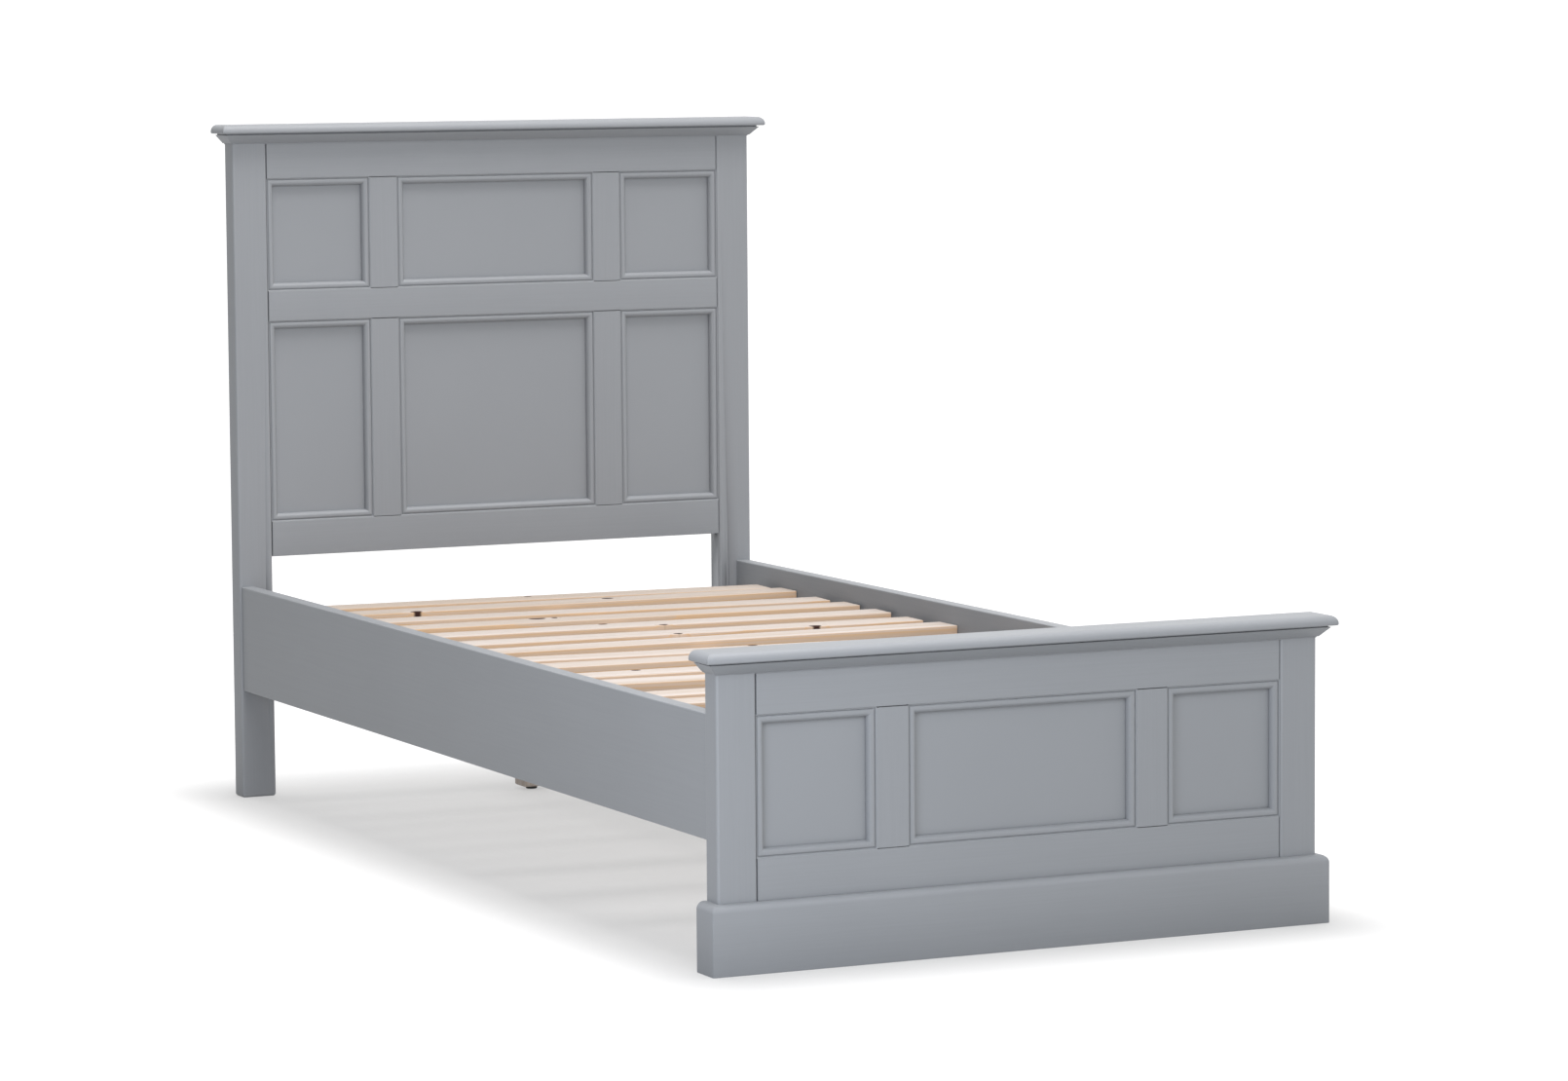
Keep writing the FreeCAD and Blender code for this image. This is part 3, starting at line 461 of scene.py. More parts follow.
for board, rows in (("head", ("upper", "lower")), ("foot", ("",))):
    runs = []
    for row in rows:
        for across in ("left", "middle", "right"):
            left, right, sill, lintel, face = opening(board, across, row)
            corners = [(left, sill, 1, 1), (right, sill, -1, 1), (right, lintel, -1, -1),
                       (left, lintel, 1, -1)]
            route = [((x, face, z), (dx, 0, dz)) for x, z, dx, dz in corners + corners[:1]]
            runs.append(run_moulding(bead, route, (0, -1, 0), LACQUER["panel"]))
    fit_moulding(board + "_beads", runs)

# %% [markdown]
# ## Cornice, cap and plinth
# Under each cap runs a bevelled cornice between two fine quirks, which draw its dark lines,
# and over it lies the cap board with its rounded nose. The nose is what catches the light
# along the top of both boards, so its arcs get many points. The plinth boxes in the foot of
# the footboard. Outside corners are eased by a small radius, as sanding leaves them, by
# replacing each corner of the path with a few stations on an arc.

# %% Stations round a board
EDGE_EASE = 0.5 * MM
PLINTH_EASE = 2.0 * MM


def eased_corner(x, y, dx, dy, z, ease, steps=4):
    """Points round an outside corner that looks (dx, dy)."""
    first = (dx * ease, 0) if dx * dy > 0 else (0, dy * ease)
    last = (0, dy * ease) if dx * dy > 0 else (dx * ease, 0)
    found = []
    for i in range(steps + 1):
        turn = math.pi / 2 * i / steps
        found.append((x - dx * ease + first[0] * math.cos(turn) + last[0] * math.sin(turn),
                      y - dy * ease + first[1] * math.cos(turn) + last[1] * math.sin(turn), z))
    return found


def skirt_route(low, high, z, ease, way=1):
    """Back left, round the front, to back right. Mitres point outwards, or inwards if way is -1."""
    half, front, back = high.x, low.y, high.y
    route = [((-half, back, z), (-way, 0, 0))]
    route += [(p, (-way, -way, 0)) for p in eased_corner(-half, front, -1, -1, z, ease)]
    route += [(p, (way, -way, 0)) for p in eased_corner(half, front, 1, -1, z, ease)]
    return route + [((half, back, z), (way, 0, 0))]


print("a left front corner, eased by 2 mm:", [tuple(round(c, 4) for c in p) for p in
                                              eased_corner(-1, -1, -1, -1, 0, PLINTH_EASE, 2)])

# %% Cornices and plinth
cornice = [(0, 0), (0.3, 0), (0.3, 1.6), (2.2, 1.6), (2.8, 1.8), (15.8, 15.7), (16.0, 15.9),
           (15.9, 16.1), (12.5, 16.1), (12.5, 18.5), (0, 18.5), (0, 0)]
plinth = [(0, 0), (14.0, 0), (14.7, 0.3), (15.0, 1.0), (15.0, 90.5)]
plinth += bend((4.0, 90.5), 11.0, 0, 90, 8) + [(0, 101.5), (0, 0)]


def post_box(board):
    """The box round both posts of a board."""
    low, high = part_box(board + "_post_left")
    return low, Vector((-low.x, high.y, high.z))


for board in ("head", "foot"):
    route = skirt_route(*post_box(board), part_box(board + "_cornice")[0].z, EDGE_EASE)
    fit_moulding(board + "_cornice", [run_moulding(cornice, route)])
fit_moulding("plinth", [run_moulding(plinth, skirt_route(*post_box("foot"), 0.0, PLINTH_EASE))])

# %% Caps
CAP_SHARP = math.radians(40) # a higher limit, so that the nose is smooth round its corners too
nose = [(24.0, 0), (2.5, 0)] + bend((2.5, 2.5), 2.5, 270, 180, 5)
nose += [(0, 3.5)] + bend((11.5, 3.5), 11.5, 180, 90, 12) + [(24.0, 15.0)]
for board in ("head", "foot"):
    low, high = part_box(board + "_cap")
    route = skirt_route(low, high, low.z, EDGE_EASE, way=-1)
    fit_moulding(board + "_cap", [run_moulding(nose, route + route[:1])], CAP_SHARP)

# %% [markdown]
# ## Pine
# The slats and the base are planed pine, left bare. Each growth ring is a pale band of early
# wood and a thin, tanner line of late wood, and planing cuts the rings lengthways into long,
# slightly wandering streaks. The streaks are rings round the tree's heart, which lies somewhere
# beside the board: a wave texture in rings round the board's length, with its coordinates
# squeezed along the grain, so that the wander is long too. A fine stretched noise adds the
# fibre. A slat's narrow edges are a warmer tan than its faces: partly their edge grain, partly
# painted shade and warm bounce light from the slats beside them. Knots are cut branches, dark
# brown discs with a soft rim. The rings flow round them, and here the coordinates are pushed
# apart near each knot before they reach the rings.
# Every slat comes from another place in another board, so an attribute shifts the pattern.

# %% Knots and planed pine
RING_SPACING = 7.0 * MM      # true rings are 2 to 5 mm: drawn coarser so that they show
WAVE_SPACING = 0.314         # the spacing of a wave texture's rings at a scale of 1
FIBRE_WIDTH = 1.6 * MM       # true fibres are far finer: drawn coarser so that they show
HEART_DEPTH = 70.0 * MM      # how far from the board the tree's heart lies
HEART_SWAY = 90.0 * MM       # how far it wanders sideways along the board
EDGE_BAND = (31.2 * MM, 32.4 * MM)   # from a slat's middle, where its edge colour sets in
PINE_IOR = 1.45
PINE_ROUGH = (0.8, 0.7)      # early wood, late wood


def knot(tree, place, label):
    """How far each point is from a knot, in knot radii, and the place pushed round it."""
    spot = add(tree, "ShaderNodeAttribute", attribute_name=label)["Vector"]
    parts = add(tree, "ShaderNodeSeparateXYZ", {0: spot})
    away = vectors(tree, "SUBTRACT", place, combine(tree, parts["X"], parts["Y"]))
    span = vectors(tree, "LENGTH", vectors(tree, "MULTIPLY", away, (0.75, 1.0, 0.0)))
    radii = maths(tree, "DIVIDE", span, maths(tree, "MAXIMUM", parts["Z"], 0.01 * MM))
    near = remap(tree, radii, 3.2, 0.6, 0.0, 0.75, "SMOOTHSTEP")
    return radii, vectors(tree, "SUBTRACT", place, vectors(tree, "SCALE", away, near))


# edge is the colour of a slat's narrow edges: partly edge grain, partly painted shade and warm
# bounce light from the slats beside them
def planed_pine(name, early="#c3bdba", late="#ab9d8e", dull="#afa193", edge="#d3ad85",
                knot_brown="#35201a", attribute=None, along=0):
    """Bare pine. With an attribute, that holds a slat's own coordinates."""
    material, tree, shader = new_material(name, ior=PINE_IOR)
    radii = []
    if attribute:
        own = place = add(tree, "ShaderNodeAttribute", attribute_name=attribute)["Vector"]
        for label in ("knot_a", "knot_b"):
            far, place = knot(tree, place, label)
            radii.append(far)
        lot = add(tree, "ShaderNodeAttribute", attribute_name="lot")["Fac"]
    else:
        turn = {0: (0, 0, 0), 1: (0, 0, math.pi / 2), 2: (0, math.pi / 2, 0)}[along]
        place = mapped(tree, add(tree, "ShaderNodeTexCoord")["Object"], Rotation=turn)
        lot = 0.4
    shifted = vectors(tree, "ADD", place, combine(tree, lot, 0.0, lot))
    squeezed = mapped(tree, shifted, Scale=(0.05, 1.0, 1.0))
    sway = maths(tree, "SUBTRACT", noise(tree, squeezed, 14.0, 2.0), 0.5)
    heart = vectors(tree, "MULTIPLY", combine(tree, 0.0, sway, HEART_DEPTH), (0.0, HEART_SWAY, 1.0))
    slide = combine(tree, 0.0, maths(tree, "MULTIPLY_ADD", lot, 0.11, -0.05))
    around = vectors(tree, "ADD", vectors(tree, "ADD", place, heart), slide)
    flow = mapped(tree, around, Scale=(0.04, 1.0, 1.0))
    rings = add(tree, "ShaderNodeTexWave", {"Vector": flow, "Scale": WAVE_SPACING / RING_SPACING,
                "Distortion": 2.6, "Detail": 2.0, "Detail Scale": 0.6}, wave_type="RINGS",
                rings_direction="X", wave_profile="SAW")["Fac"]
    thin = maths(tree, "POWER", rings, 2.2)
    fine = mapped(tree, shifted, Scale=(8.0, 1 / FIBRE_WIDTH, 1 / FIBRE_WIDTH))
    mix = maths(tree, "MULTIPLY_ADD", noise(tree, fine, 1.0, 2.0), 0.35, thin)
    mix = remap(tree, mix, 0.1, 1.25)
    wood = blend(tree, mix, linear(early), linear(late))
    tint = remap(tree, noise(tree, squeezed, 30.0, 1.0), 0.35, 0.75)
    if attribute:
        tone = add(tree, "ShaderNodeAttribute", attribute_name="tone")["Fac"]
        tint = maths(tree, "MULTIPLY_ADD", tint, 0.4, tone)
    else:
        tint = maths(tree, "MULTIPLY", tint, 0.6)
    wood = blend(tree, tint, wood, linear(dull))
    if attribute:
        # the narrow edges take a warmer tan: partly edge grain, partly painted shade and warm
        # bounce light
        aside = maths(tree, "ABSOLUTE", add(tree, "ShaderNodeSeparateXYZ", {0: own})["Y"])
        edge_tone_and_shade = maths(tree, "MULTIPLY", remap(tree, aside, *EDGE_BAND, 0.0, 0.85),
                       remap(tree, mix, 0.0, 1.0, 0.55, 1.0))
        wood = blend(tree, edge_tone_and_shade, wood, linear(edge))
    for far in radii:
        inside = remap(tree, far, 1.15, 0.85, curve="SMOOTHSTEP")
        wood = blend(tree, inside, wood, linear(knot_brown))
    coat(tree, shader, wood, remap(tree, mix, 0.0, 1.0, *PINE_ROUGH), mix, 0.2, 0.3 * MM)
    shader.inputs["Specular IOR Level"].default_value = 0.15
    return material


SLAT_PINE = planed_pine("planed_pine_slats", attribute="grain")
BASE_PINE = {way: planed_pine("planed_pine_" + way, along=axis) for way, axis in AXES.items()}
print("slat pine has", len(SLAT_PINE.node_tree.nodes), "nodes")

# %% [markdown]
# ## Slats
# Fifteen planed slats lie loose on the ledgers, each a little askew, as they were left. A slat is
# a rounded rectangle swept along a line. The tree sets one on each point, turned by the point's
# own angle, and stores each slat's own coordinates for the pine to follow. The places and turns
# are read from the CAD slats. The darkest knots stand where the real slats have them: each is
# given across the bed and back from the headboard, and goes to the slat that lies there.

# %% The slat tree
slats, take = new_tree("slats", {
    "Places": "Object", "Length": "Float", "Width": "Float", "Thickness": "Float",
    "Arris": "Float", "Seed": "Int", "Finish": "Material"})
half = maths(slats, "MULTIPLY", take["Length"], 0.5)
back = maths(slats, "MULTIPLY", half, -1.0)
line = add(slats, "GeometryNodeCurvePrimitiveLine", {
    "Start": combine(slats, back), "End": combine(slats, half)})["Curve"]
sawn = add(slats, "GeometryNodeCurvePrimitiveQuadrilateral", {
    "Width": take["Width"], "Height": take["Thickness"]})["Curve"]
eased = add(slats, "GeometryNodeFilletCurve", {
    "Curve": sawn, "Radius": take["Arris"], "Count": 3}, mode="POLY")["Curve"]
bar = add(slats, "GeometryNodeCurveToMesh", {
    "Curve": line, "Profile Curve": eased, "Fill Caps": True})["Mesh"]
own = add(slats, "GeometryNodeInputPosition")["Position"]
kept = add(slats, "GeometryNodeStoreNamedAttribute", {
    "Geometry": bar, "Name": "grain", "Value": own}, data_type="FLOAT_VECTOR")["Geometry"]
places = add(slats, "GeometryNodeObjectInfo", {"Object": take["Places"]})["Geometry"]
askew = add(slats, "GeometryNodeInputNamedAttribute", {"Name": "turn"}, data_type="FLOAT")
laid = add(slats, "GeometryNodeInstanceOnPoints", {
    "Points": places, "Instance": kept, "Rotation": combine(slats, z=askew["Attribute"])})
chance = add(slats, "FunctionNodeRandomValue", {"Seed": take["Seed"]}, data_type="FLOAT")[0]
dealt = add(slats, "GeometryNodeStoreNamedAttribute", {
    "Geometry": laid["Instances"], "Name": "lot", "Value": chance}, data_type="FLOAT",
    domain="INSTANCE")["Geometry"]
end_tree(slats, dealt, take["Finish"])
print("the slat tree has", len(slats.nodes), "nodes")

# %% Where the slats lie
SLAT_NODES = ["slat_" + format(i, "02d") for i in range(1, 16)]
# how tan each slat is, from the head end: 0 is pale cream
SLAT_TONES = [0.55, 0.45, 0.1, 0.25, 0.05, 0.0, 0.15, 0.05, 0.1, 0.0, 0.1, 0.05, 0.15, 0.1, 0.1]
# (across the bed, back from the headboard, radius) in mm
KNOTS = [(7, 106, 5), (117, 201, 8), (-253, 258, 8), (-333, 265, 6), (-113, 415, 11), (-91, 434, 6),
         (-50, 557, 6), (35, 643, 6), (3, 760, 6), (247, 776, 8), (42, 927, 6), (-258, 1163, 6)]
KNOT_ROOM = 26 * MM          # a knot's middle stays as near as this to the slat's middle line
NO_KNOT = (0.0, 9.0, 0.001)  # so far away that it doesn't show
END_LENGTH = 30 * MM         # the part of each end that tells how a slat is turned


def slat_lie(node):
    """A slat's middle, and how far it is turned about the vertical."""
    low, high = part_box(node)
    corners = [v.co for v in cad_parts[node].data.vertices]
    right = [p for p in corners if p.x > high.x - END_LENGTH]
    left = [p for p in corners if p.x < low.x + END_LENGTH]
    run = sum(right, Vector()) / len(right) - sum(left, Vector()) / len(left)
    return (low + high) / 2, math.atan2(run.y, run.x)


lies = [slat_lie(node) for node in SLAT_NODES]
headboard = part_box("head_post_left")[0].y
own_knots = [[] for _ in lies]
for x, behind, radius in KNOTS:
    spot = Vector((x * MM, headboard - behind * MM, 0))
    local = [Matrix.Rotation(-turn, 3, "Z") @ (spot - middle) for middle, turn in lies]
    nearest = min(range(len(lies)), key=lambda i: abs(local[i].y))
    along, aside = local[nearest].x, max(-KNOT_ROOM, min(KNOT_ROOM, local[nearest].y))
    own_knots[nearest].append((along, aside, radius * MM))
first, second = ([(found + [NO_KNOT] * 2)[i] for found in own_knots] for i in (0, 1))
print("slats turned by", [round(math.degrees(turn), 1) for _, turn in lies], "degrees")

# %% Grow the slats
SLAT = {"Length": 895 * MM, "Width": 65 * MM, "Thickness": 18 * MM, "Arris": 1.5 * MM, "Seed": 7}
set_out = points("slat_places", [middle for middle, _ in lies], turn=[turn for _, turn in lies],
                 tone=SLAT_TONES, knot_a=first, knot_b=second)
mesh = grow(slats, {"Places": set_out, "Finish": SLAT_PINE, **SLAT})
dress(as_piece("slats_planed", [mesh]), "bed_frame", "pine_slat", *SLAT_NODES)

# %% [markdown]
# ## The base
# The ledgers, the centre rail and its legs are the same pine. They keep their CAD shapes. Only
# the direction of the grain changes from piece to piece.

# %% Dress the base
for axis, nodes in {"along": ["slat_ledger_left", "slat_ledger_right", "centre_rail"],
                    "upright": ["centre_leg_head", "centre_leg_foot"]}.items():
    for node in nodes:
        dress(clean_copy(node, node + "_pine", BASE_PINE[axis]), "bed_frame", "planed_pine", node)
print("dressed the ledgers, the centre rail and its legs")

# %% [markdown]
# ## Steel and nylon
# Brackets, inserts and screws are bright zinc-plated steel: a thin, slightly blotchy metal
# coat that keeps the steel's rolling texture. A metal keeps the default IOR, and its colour
# is its reflection. The levelling feet are moulded black nylon with a faint sparked texture.

# %% Zinc and nylon
GRIT_DEPTH = 0.05 * MM


def mottled(name, dark, light, size, rough, metallic=0.0, ior=None):
    """A finish with soft blotches of a given size, in metres."""
    material, tree, shader = new_material(name, ior=ior, metallic=metallic)
    place = add(tree, "ShaderNodeTexCoord")["Object"]
    blotch = noise(tree, place, 1 / size, 3.0)
    grit = noise(tree, place, 9 / size, 1.0)
    tone = blend(tree, blotch, linear(dark), linear(light))
    coat(tree, shader, tone, remap(tree, blotch, 0.0, 1.0, *rough), grit, 0.2, GRIT_DEPTH)
    return material


ZINC = mottled("zinc_plated_steel", dark="#a9adb0", light="#cfd2d4", size=6 * MM,
               rough=(0.28, 0.45), metallic=1.0)
NYLON = mottled("black_moulded_nylon", dark="#151515", light="#1f1f1f", size=3 * MM,
                rough=(0.42, 0.55), ior=1.53)
for node in ("corner_brackets", "leg_inserts"):
    dress(clean_copy(node, node + "_zinc", ZINC), "bed_frame", "zinc_plated_steel", node)

# %% [markdown]
# ## Screws
# One tree makes every screw. A cone primitive gives the head: with many sides and a taper it is
# a countersunk head, with six sides and no taper a hexagon. A shank and a point follow it, and
# two crossed slots are cut into a countersunk head for the driver. The shape is set on each
# point, turned so that it points the way the point's "aim" says.

# %% The screw tree
SIZES = ("Head Radius", "Head Bottom", "Head Height", "Shank Radius", "Length", "Slot Length")
SLOT_WIDTH = 0.9 * MM
TIP_RADIUS = 0.2 * MM
screws, take = new_tree("screws", {"Places": "Object", **dict.fromkeys(SIZES, "Float"),
                                   "Head Sides": "Int", "Finish": "Material"})
head = add(screws, "GeometryNodeMeshCone", {
    "Vertices": take["Head Sides"], "Radius Top": take["Head Bottom"],
    "Radius Bottom": take["Head Radius"], "Depth": take["Head Height"]})["Mesh"]
point = maths(screws, "MULTIPLY", take["Shank Radius"], 2.0)
start = maths(screws, "MULTIPLY", take["Head Height"], 0.5)
straight = maths(screws, "SUBTRACT", take["Length"], point)
run = maths(screws, "SUBTRACT", straight, start)
parts = [head]
for top, depth, lift in ((take["Shank Radius"], run, start), (TIP_RADIUS, point, straight)):
    rod = add(screws, "GeometryNodeMeshCone", {
        "Vertices": 16, "Radius Top": top, "Radius Bottom": take["Shank Radius"],
        "Depth": depth})["Mesh"]
    parts.append(add(screws, "GeometryNodeTransform", {
        "Geometry": rod, "Translation": combine(screws, z=lift)})["Geometry"])
whole = add(screws, "GeometryNodeMeshBoolean", {0: parts}, operation="UNION")["Mesh"]
deep = maths(screws, "MULTIPLY", take["Head Height"], 1.2)
slots = []
for turn in (0.0, math.pi / 2):
    size = combine(screws, take["Slot Length"], SLOT_WIDTH, deep)
    slot = add(screws, "GeometryNodeMeshCube", {"Size": size})["Mesh"]
    slots.append(add(screws, "GeometryNodeTransform", {
        "Geometry": slot, "Rotation": (0, 0, turn)})["Geometry"])
cut = add(screws, "GeometryNodeMeshBoolean", {0: whole, 1: slots}, operation="DIFFERENCE")["Mesh"]
aim = add(screws, "GeometryNodeInputNamedAttribute", {"Name": "aim"}, data_type="FLOAT_VECTOR")
facing = add(screws, "FunctionNodeAlignRotationToVector", {"Vector": aim["Attribute"]}, axis="Z")
places = add(screws, "GeometryNodeObjectInfo", {"Object": take["Places"]})["Geometry"]
driven = add(screws, "GeometryNodeInstanceOnPoints", {
    "Points": places, "Instance": cut, "Rotation": facing["Rotation"]})
end_tree(screws, driven["Instances"], take["Finish"])

# the sizes in mm and the head's sides; the slot of a hexagon head is too small to show
SCREWS = {"ledger_screws": ((4, 2, 2, 2, 40, 5), 32),
          "bracket_screws": ((5.77, 5.77, 4, 3, 24, 0.01), 6),
          "centre_rail_screws": ((4.6, 2.3, 2.3, 2.3, 70, 5.5), 32)}


def drive(node, places):
    """Screws at (place, aim) pairs, in the stead of a CAD node."""
    marks = points("screw_places", [place for place, _ in places], aim=[way for _, way in places])
    sizes, sides = SCREWS[node]
    mesh = grow(screws, {"Places": marks, "Head Sides": sides, "Finish": ZINC,
                         **{label: size * MM for label, size in zip(SIZES, sizes)}})
    dress(as_piece(node + "_zinc", [mesh]), "bed_frame", "zinc_plated_steel", node)
    low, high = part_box(node)
    past = [max(low[i] - min(v.co[i] for v in mesh.vertices),
                max(v.co[i] for v in mesh.vertices) - high[i]) for i in range(3)]
    print("they reach past the CAD screws by at most", round(max(past) / MM, 2), "mm")


# %% Drive the screws
LEDGER_SCREWS = 7            # in each ledger
HEAD_RADIUS = SCREWS["ledger_screws"][0][0] * MM
low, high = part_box("ledger_screws")
ledger_low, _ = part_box("slat_ledger_right")
middle, step = (low.z + high.z) / 2, (high.y - low.y - 2 * HEAD_RADIUS) / (LEDGER_SCREWS - 1)
places = [((side * ledger_low.x, low.y + HEAD_RADIUS + i * step, middle), (side, 0, 0))
          for side in (-1, 1) for i in range(LEDGER_SCREWS)]
drive("ledger_screws", places)

HEAD_OUT = 7 * MM            # a bracket's leaf and the screw head on it
FROM_RAIL, FROM_BOARD = 16.5 * MM, 21.5 * MM   # the holes in a bracket's two leaves
UP_DOWN = 20 * MM            # from the bracket's middle height
rail_low, rail_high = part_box("side_rail_right")
bracket_low, bracket_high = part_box("corner_brackets")
middle, places = (bracket_low.z + bracket_high.z) / 2, []
for side in (-1, 1):
    for board, inwards in ((rail_low.y, 1), (rail_high.y, -1)):
        for z in (middle - UP_DOWN, middle + UP_DOWN):
            places.append(((side * (rail_low.x - FROM_RAIL), board + inwards * HEAD_OUT, z),
                           (0, -inwards, 0)))
            places.append(((side * (rail_low.x - HEAD_OUT), board + inwards * FROM_BOARD, z),
                           (side, 0, 0)))
drive("bracket_screws", places)

APART = 12 * MM              # the two screws over a leg, from the leg's middle
LEG_START = 30 * MM          # over the rail's underside, to go down into a leg
SLAT_START = 55 * MM         # under the rail's top, to go up into a slat
SCREWED_SLATS = (2, 8, 14)
centre_low, centre_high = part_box("centre_rail")
places = []
for node in ("centre_leg_foot", "centre_leg_head"):
    leg_low, leg_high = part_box(node)
    for offset in (-APART, APART):
        places.append(((0, (leg_low.y + leg_high.y) / 2 + offset, centre_low.z + LEG_START),
                       (0, 0, -1)))
for number in SCREWED_SLATS:
    middle, turn = lies[number - 1]
    places.append(((0, middle.y - middle.x * math.tan(turn), centre_high.z - SLAT_START),
                   (0, 0, 1)))
drive("centre_rail_screws", places)

# %% [markdown]
# ## Levelling feet
# Under each centre leg a nylon foot turns on an M8 stud. The foot is turned on a lathe in this
# model: its outline is spun round the stud's axis. The stud's thread is a real helix, a small
# triangle swept along a spiral, grown by a tree whose inputs are the stud's radius, length
# and pitch. Foot and stud ride on the leveller, so that they come down out of the leg together.

# %% The stud tree
studs, take = new_tree("stud", {"Radius": "Float", "Length": "Float", "Pitch": "Float",
                                "Finish": "Material"})
ridge = maths(studs, "MULTIPLY", take["Pitch"], 0.42)
root = maths(studs, "SUBTRACT", take["Radius"], ridge)
turns = maths(studs, "DIVIDE", take["Length"], take["Pitch"])
whole_turns = maths(studs, "SUBTRACT", turns, 1.5)
climb = maths(studs, "MULTIPLY", whole_turns, take["Pitch"])
helix = add(studs, "GeometryNodeCurveSpiral", {
    "Resolution": 24, "Rotations": whole_turns, "Start Radius": root, "End Radius": root,
    "Height": climb})["Curve"]
tooth = add(studs, "GeometryNodeCurvePrimitiveCircle", {"Resolution": 3, "Radius": ridge})
thread = add(studs, "GeometryNodeCurveToMesh", {
    "Curve": helix, "Fill Caps": True, "Profile Curve": tooth["Curve"]})["Mesh"]
core = add(studs, "GeometryNodeMeshCylinder", {
    "Vertices": 24, "Radius": root, "Depth": take["Length"]})["Mesh"]
rods = []
for rod, lift in ((core, maths(studs, "MULTIPLY", take["Length"], 0.5)),
                  (thread, maths(studs, "MULTIPLY", take["Pitch"], 0.75))):
    rods.append(add(studs, "GeometryNodeTransform", {
        "Geometry": rod, "Translation": combine(studs, z=lift)})["Geometry"])
both = add(studs, "GeometryNodeJoinGeometry", {"Geometry": rods})["Geometry"]
end_tree(studs, both, take["Finish"])
print("the stud tree has", len(studs.nodes), "nodes")

# %% Turn the feet
STUD = {"Radius": 3.9 * MM, "Length": 22 * MM, "Pitch": 1.25 * MM}
# in mm: how far from the axis, and how far up
foot_outline = [(0, 0.3), (8.2, 0.3)] + arc((8.2, 0.3), (9.47, 0.83), (10, 2.1), 5)
foot_outline += [(10, 5.0), (9.6, 5.6), (8.6, 6.0), (6.6, 6.3), (0, 6.3)]
foot_top = foot_outline[-1][1] * MM
for end in ("head", "foot"):
    node, body = "leveller_" + end, end + "_leveller"
    low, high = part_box(node)
    x, y = (low.x + high.x) / 2, (low.y + high.y) / 2
    work = bmesh.new()
    rim = [work.verts.new((x + r * MM, y, z * MM)) for r, z in foot_outline]
    edges = [work.edges.new(pair) for pair in zip(rim, rim[1:])]
    bmesh.ops.spin(work, geom=rim + edges, cent=(x, y, 0), axis=(0, 0, 1), angle=math.tau, steps=40)
    bmesh.ops.remove_doubles(work, verts=work.verts, dist=0.005 * MM)
    disc = bpy.data.meshes.new("disc")
    work.to_mesh(disc)
    work.free()
    disc.materials.append(NYLON)
    dress(as_piece(node + "_foot", [disc]), body, "black_nylon", node)
    stud = grow(studs, {"Finish": ZINC, **STUD})
    stud.transform(Matrix.Translation((x, y, foot_top)))
    dress(as_piece(node + "_stud", [stud]), body, "zinc_plated_steel", node)

# %% [markdown]
# ## The studio
# The bed stands on a white sweep. A broad softbox overhead makes the tops lightest, one in
# front lights the boards, and a small one to the left picks out the footboard's corner. The rest
# of the studio is white all round, and darker on the left, behind the camera. The floor glows of
# its own, as an overlit white sweep does, and the glow fades to a pale grey under the bed: the
# bed's shadow on the floor is mostly painted into that glow, and only in part cast by the lamps.
# Only the camera sees the full glow. Less of it reaches the bed, as when black cloths lie on a
# studio's floor, so the undersides of the mouldings stay dark and their lines crisp.

# %% Floor
FLOOR_IOR = 1.45
FLOOR_HALF = 300             # metres: the sweep has no edge to be seen
# how the bed's painted shadow on the floor runs out past the sides and the ends
REACH_WEIGHTS = (1.0, 0.75, 0.0)   # the shade runs out slower past the ends than the sides
HELD_GLOW = 0.62             # the share of the glow that lights the bed


def white_sweep(name, glow_in_painted_shadow, open_glow, half_width, half_length, spread):
    """Matt white, whose own glow is lower under the bed, a painted shadow of the bed, and rises
    over a spread, in metres.
    """
    material, tree, shader = new_material(name, ior=FLOOR_IOR)
    place = add(tree, "ShaderNodeTexCoord")["Object"]
    tone = blend(tree, noise(tree, place, 30.0, 2.0), linear("#888888"), linear("#8b8b8b"))
    aside = vectors(tree, "ABSOLUTE", place)
    beyond = vectors(tree, "SUBTRACT", aside, (half_width, half_length, 0))
    beyond = vectors(tree, "MAXIMUM", beyond, (0, 0, 0))
    away = vectors(tree, "LENGTH", vectors(tree, "MULTIPLY", beyond, REACH_WEIGHTS))
    # the glow is lower under the bed and round it: a painted shadow of the bed
    glow = remap(tree, away, 0.0, spread, glow_in_painted_shadow, open_glow, "SMOOTHSTEP")
    seen = add(tree, "ShaderNodeLightPath")["Is Camera Ray"]
    glow = maths(tree, "MULTIPLY", glow, remap(tree, seen, 0.0, 1.0, HELD_GLOW, 1.0))
    tree.links.new(tone, shader.inputs["Base Color"])
    tree.links.new(glow, shader.inputs["Emission Strength"])
    shader.inputs["Roughness"].default_value = 0.9
    shader.inputs["Specular IOR Level"].default_value = 0.1
    shader.inputs["Emission Color"].default_value = (1, 1, 1, 1)
    return material


corners = [(x * FLOOR_HALF, y * FLOOR_HALF, 0) for x, y in ((-1, -1), (1, -1), (1, 1), (-1, 1))]
floor_mesh = bpy.data.meshes.new("floor")
floor_mesh.from_pydata(corners, [], [(0, 1, 2, 3)])
floor_mesh.materials.append(white_sweep("matt_white_sweep", glow_in_painted_shadow=0.44, open_glow=0.86,
                                        half_width=0.47, half_length=0.985, spread=0.26))
floor = new_object("floor", floor_mesh)
print("floor laid")

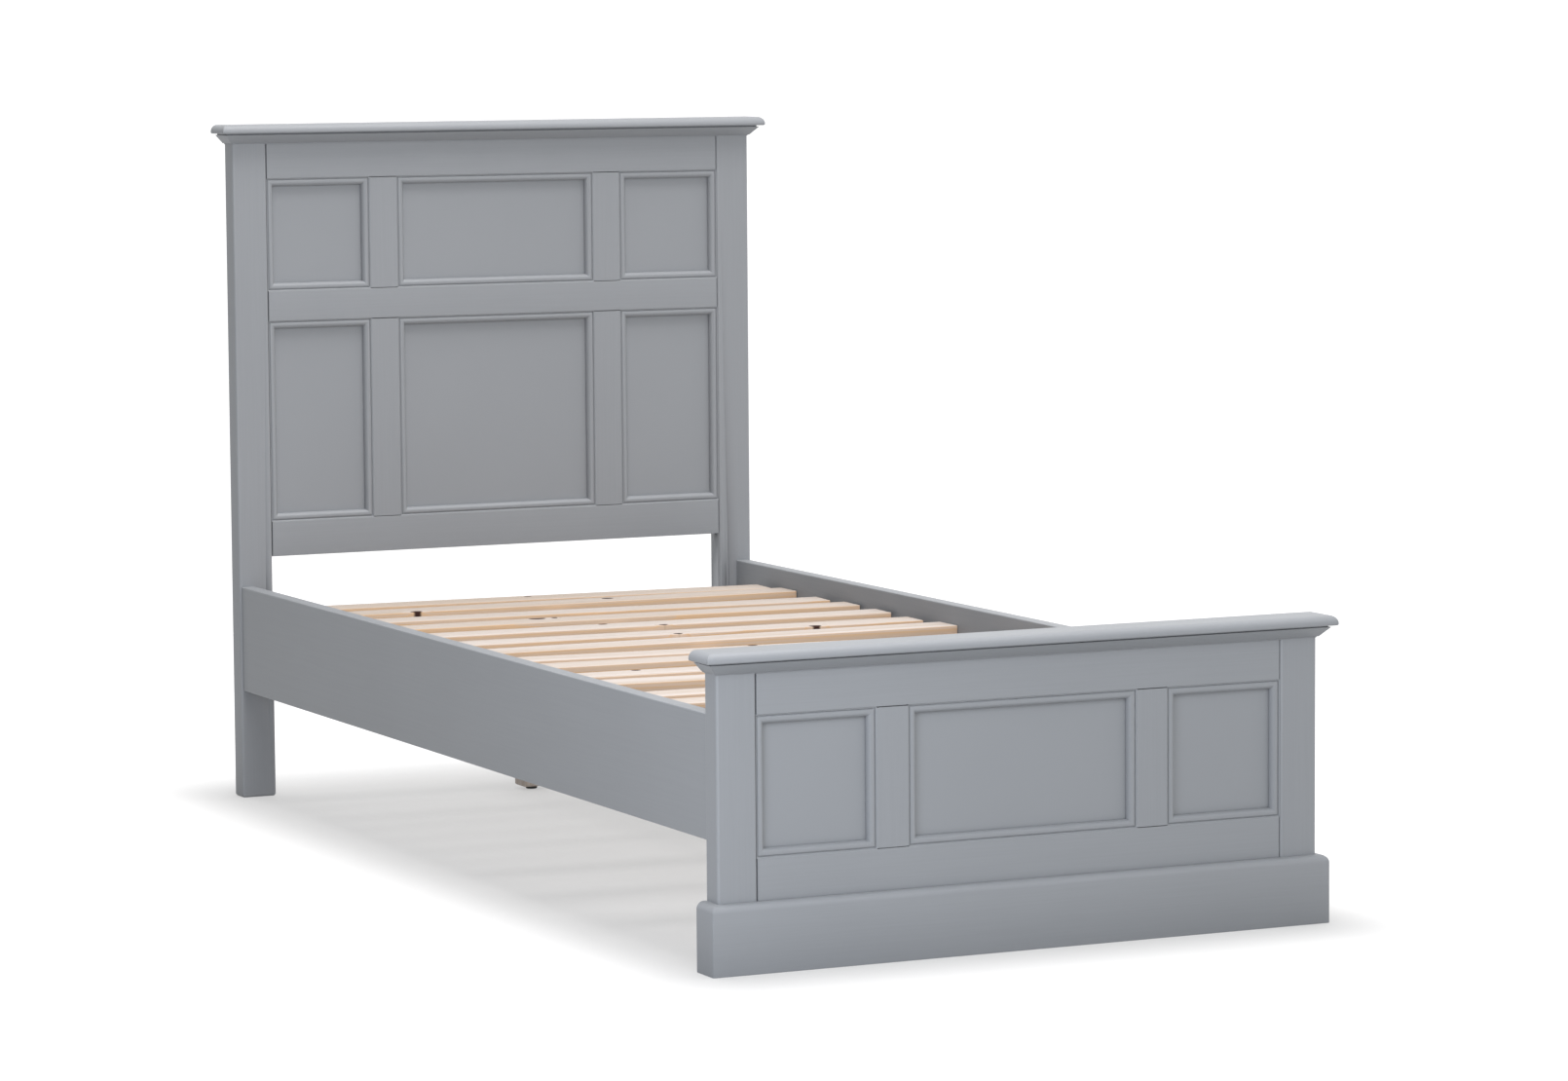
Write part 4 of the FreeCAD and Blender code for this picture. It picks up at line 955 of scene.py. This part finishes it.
# %% Lights
SHADE_SIDE = (-0.92, -0.4, -0.2)     # the studio is darker on this side, behind the camera
BRIGHT_SIDE, DARK_SIDE = 1.15, 0.1   # how strongly it shines on either side
world = bpy.data.worlds.new("white_studio")
world.use_nodes = True
sky = world.node_tree
look = add(sky, "ShaderNodeTexCoord")["Generated"]
sideways = vectors(sky, "DOT_PRODUCT", look, SHADE_SIDE)
dimmed = remap(sky, sideways, -0.1, 0.7, BRIGHT_SIDE, DARK_SIDE, "SMOOTHSTEP")
seen = add(sky, "ShaderNodeLightPath")["Is Camera Ray"]
sky.nodes["Background"].inputs["Color"].default_value = (1, 1, 1, 1)
sky.links.new(maths(sky, "MAXIMUM", dimmed, seen), sky.nodes["Background"].inputs["Strength"])
bpy.context.scene.world = world


def softbox(name, place, target, size, watts, tint):
    """A round softbox at a place, in metres, that looks at a target."""
    lamp = bpy.data.lights.new(name, "AREA")
    lamp.shape = "DISK"
    lamp.size = size
    lamp.energy = watts
    lamp.color = linear(tint)[:3]
    box = new_object(name, lamp)
    box.location = place
    box.rotation_euler = (Vector(target) - Vector(place)).to_track_quat("-Z", "Y").to_euler()
    print(name, "at", place)


softbox("overhead_softbox", place=(-0.1, -0.4, 5.0), target=(0.0, 0.0, 0.4), size=2.6,
        watts=184.0, tint="#fffcfb")
softbox("front_softbox", place=(-1.1, -4.1, 3.0), target=(0.0, -0.6, 0.5), size=2.0,
        watts=49.0, tint="#fbfdff")
softbox("side_softbox", place=(-1.9, -2.3, 0.9), target=(-0.5, -1.1, 0.3), size=1.2,
        watts=26.0, tint="#eef4ff")
bpy.context.scene.view_settings.view_transform = "Standard"

# %% [markdown]
# ## The camera
# The camera stands to the left of the foot end, a little above the bed, and looks slightly down.
# Its place, turn and focal length were worked out from the corners of the posts, rails and
# plinth, whose sizes are known. The picture is taken to be 1610 x 1110 pixels.

# %% Camera
PICTURE_WIDTH = 1610
FOCAL_PIXELS = 5550.5
SENSOR_WIDTH = 36.0
CAMERA_PLACE = (-3.6016, -7.789, 1.3392)
CAMERA_HEADING, CAMERA_TILT, CAMERA_ROLL = -25.36, 5.55, -0.412   # degrees; the tilt is down


def rotation(degrees, axis):
    return Matrix.Rotation(math.radians(degrees), 4, axis)


camera_data = bpy.data.cameras.new("camera")
camera_data.sensor_width = SENSOR_WIDTH
camera_data.lens = FOCAL_PIXELS / PICTURE_WIDTH * SENSOR_WIDTH
camera = new_object("camera", camera_data)
camera.matrix_world = (Matrix.Translation(CAMERA_PLACE) @ rotation(CAMERA_HEADING, "Z")
                       @ rotation(90 - CAMERA_TILT, "X") @ rotation(CAMERA_ROLL, "Z"))
bpy.context.scene.camera = camera
print("lens", round(camera_data.lens, 2), "mm")
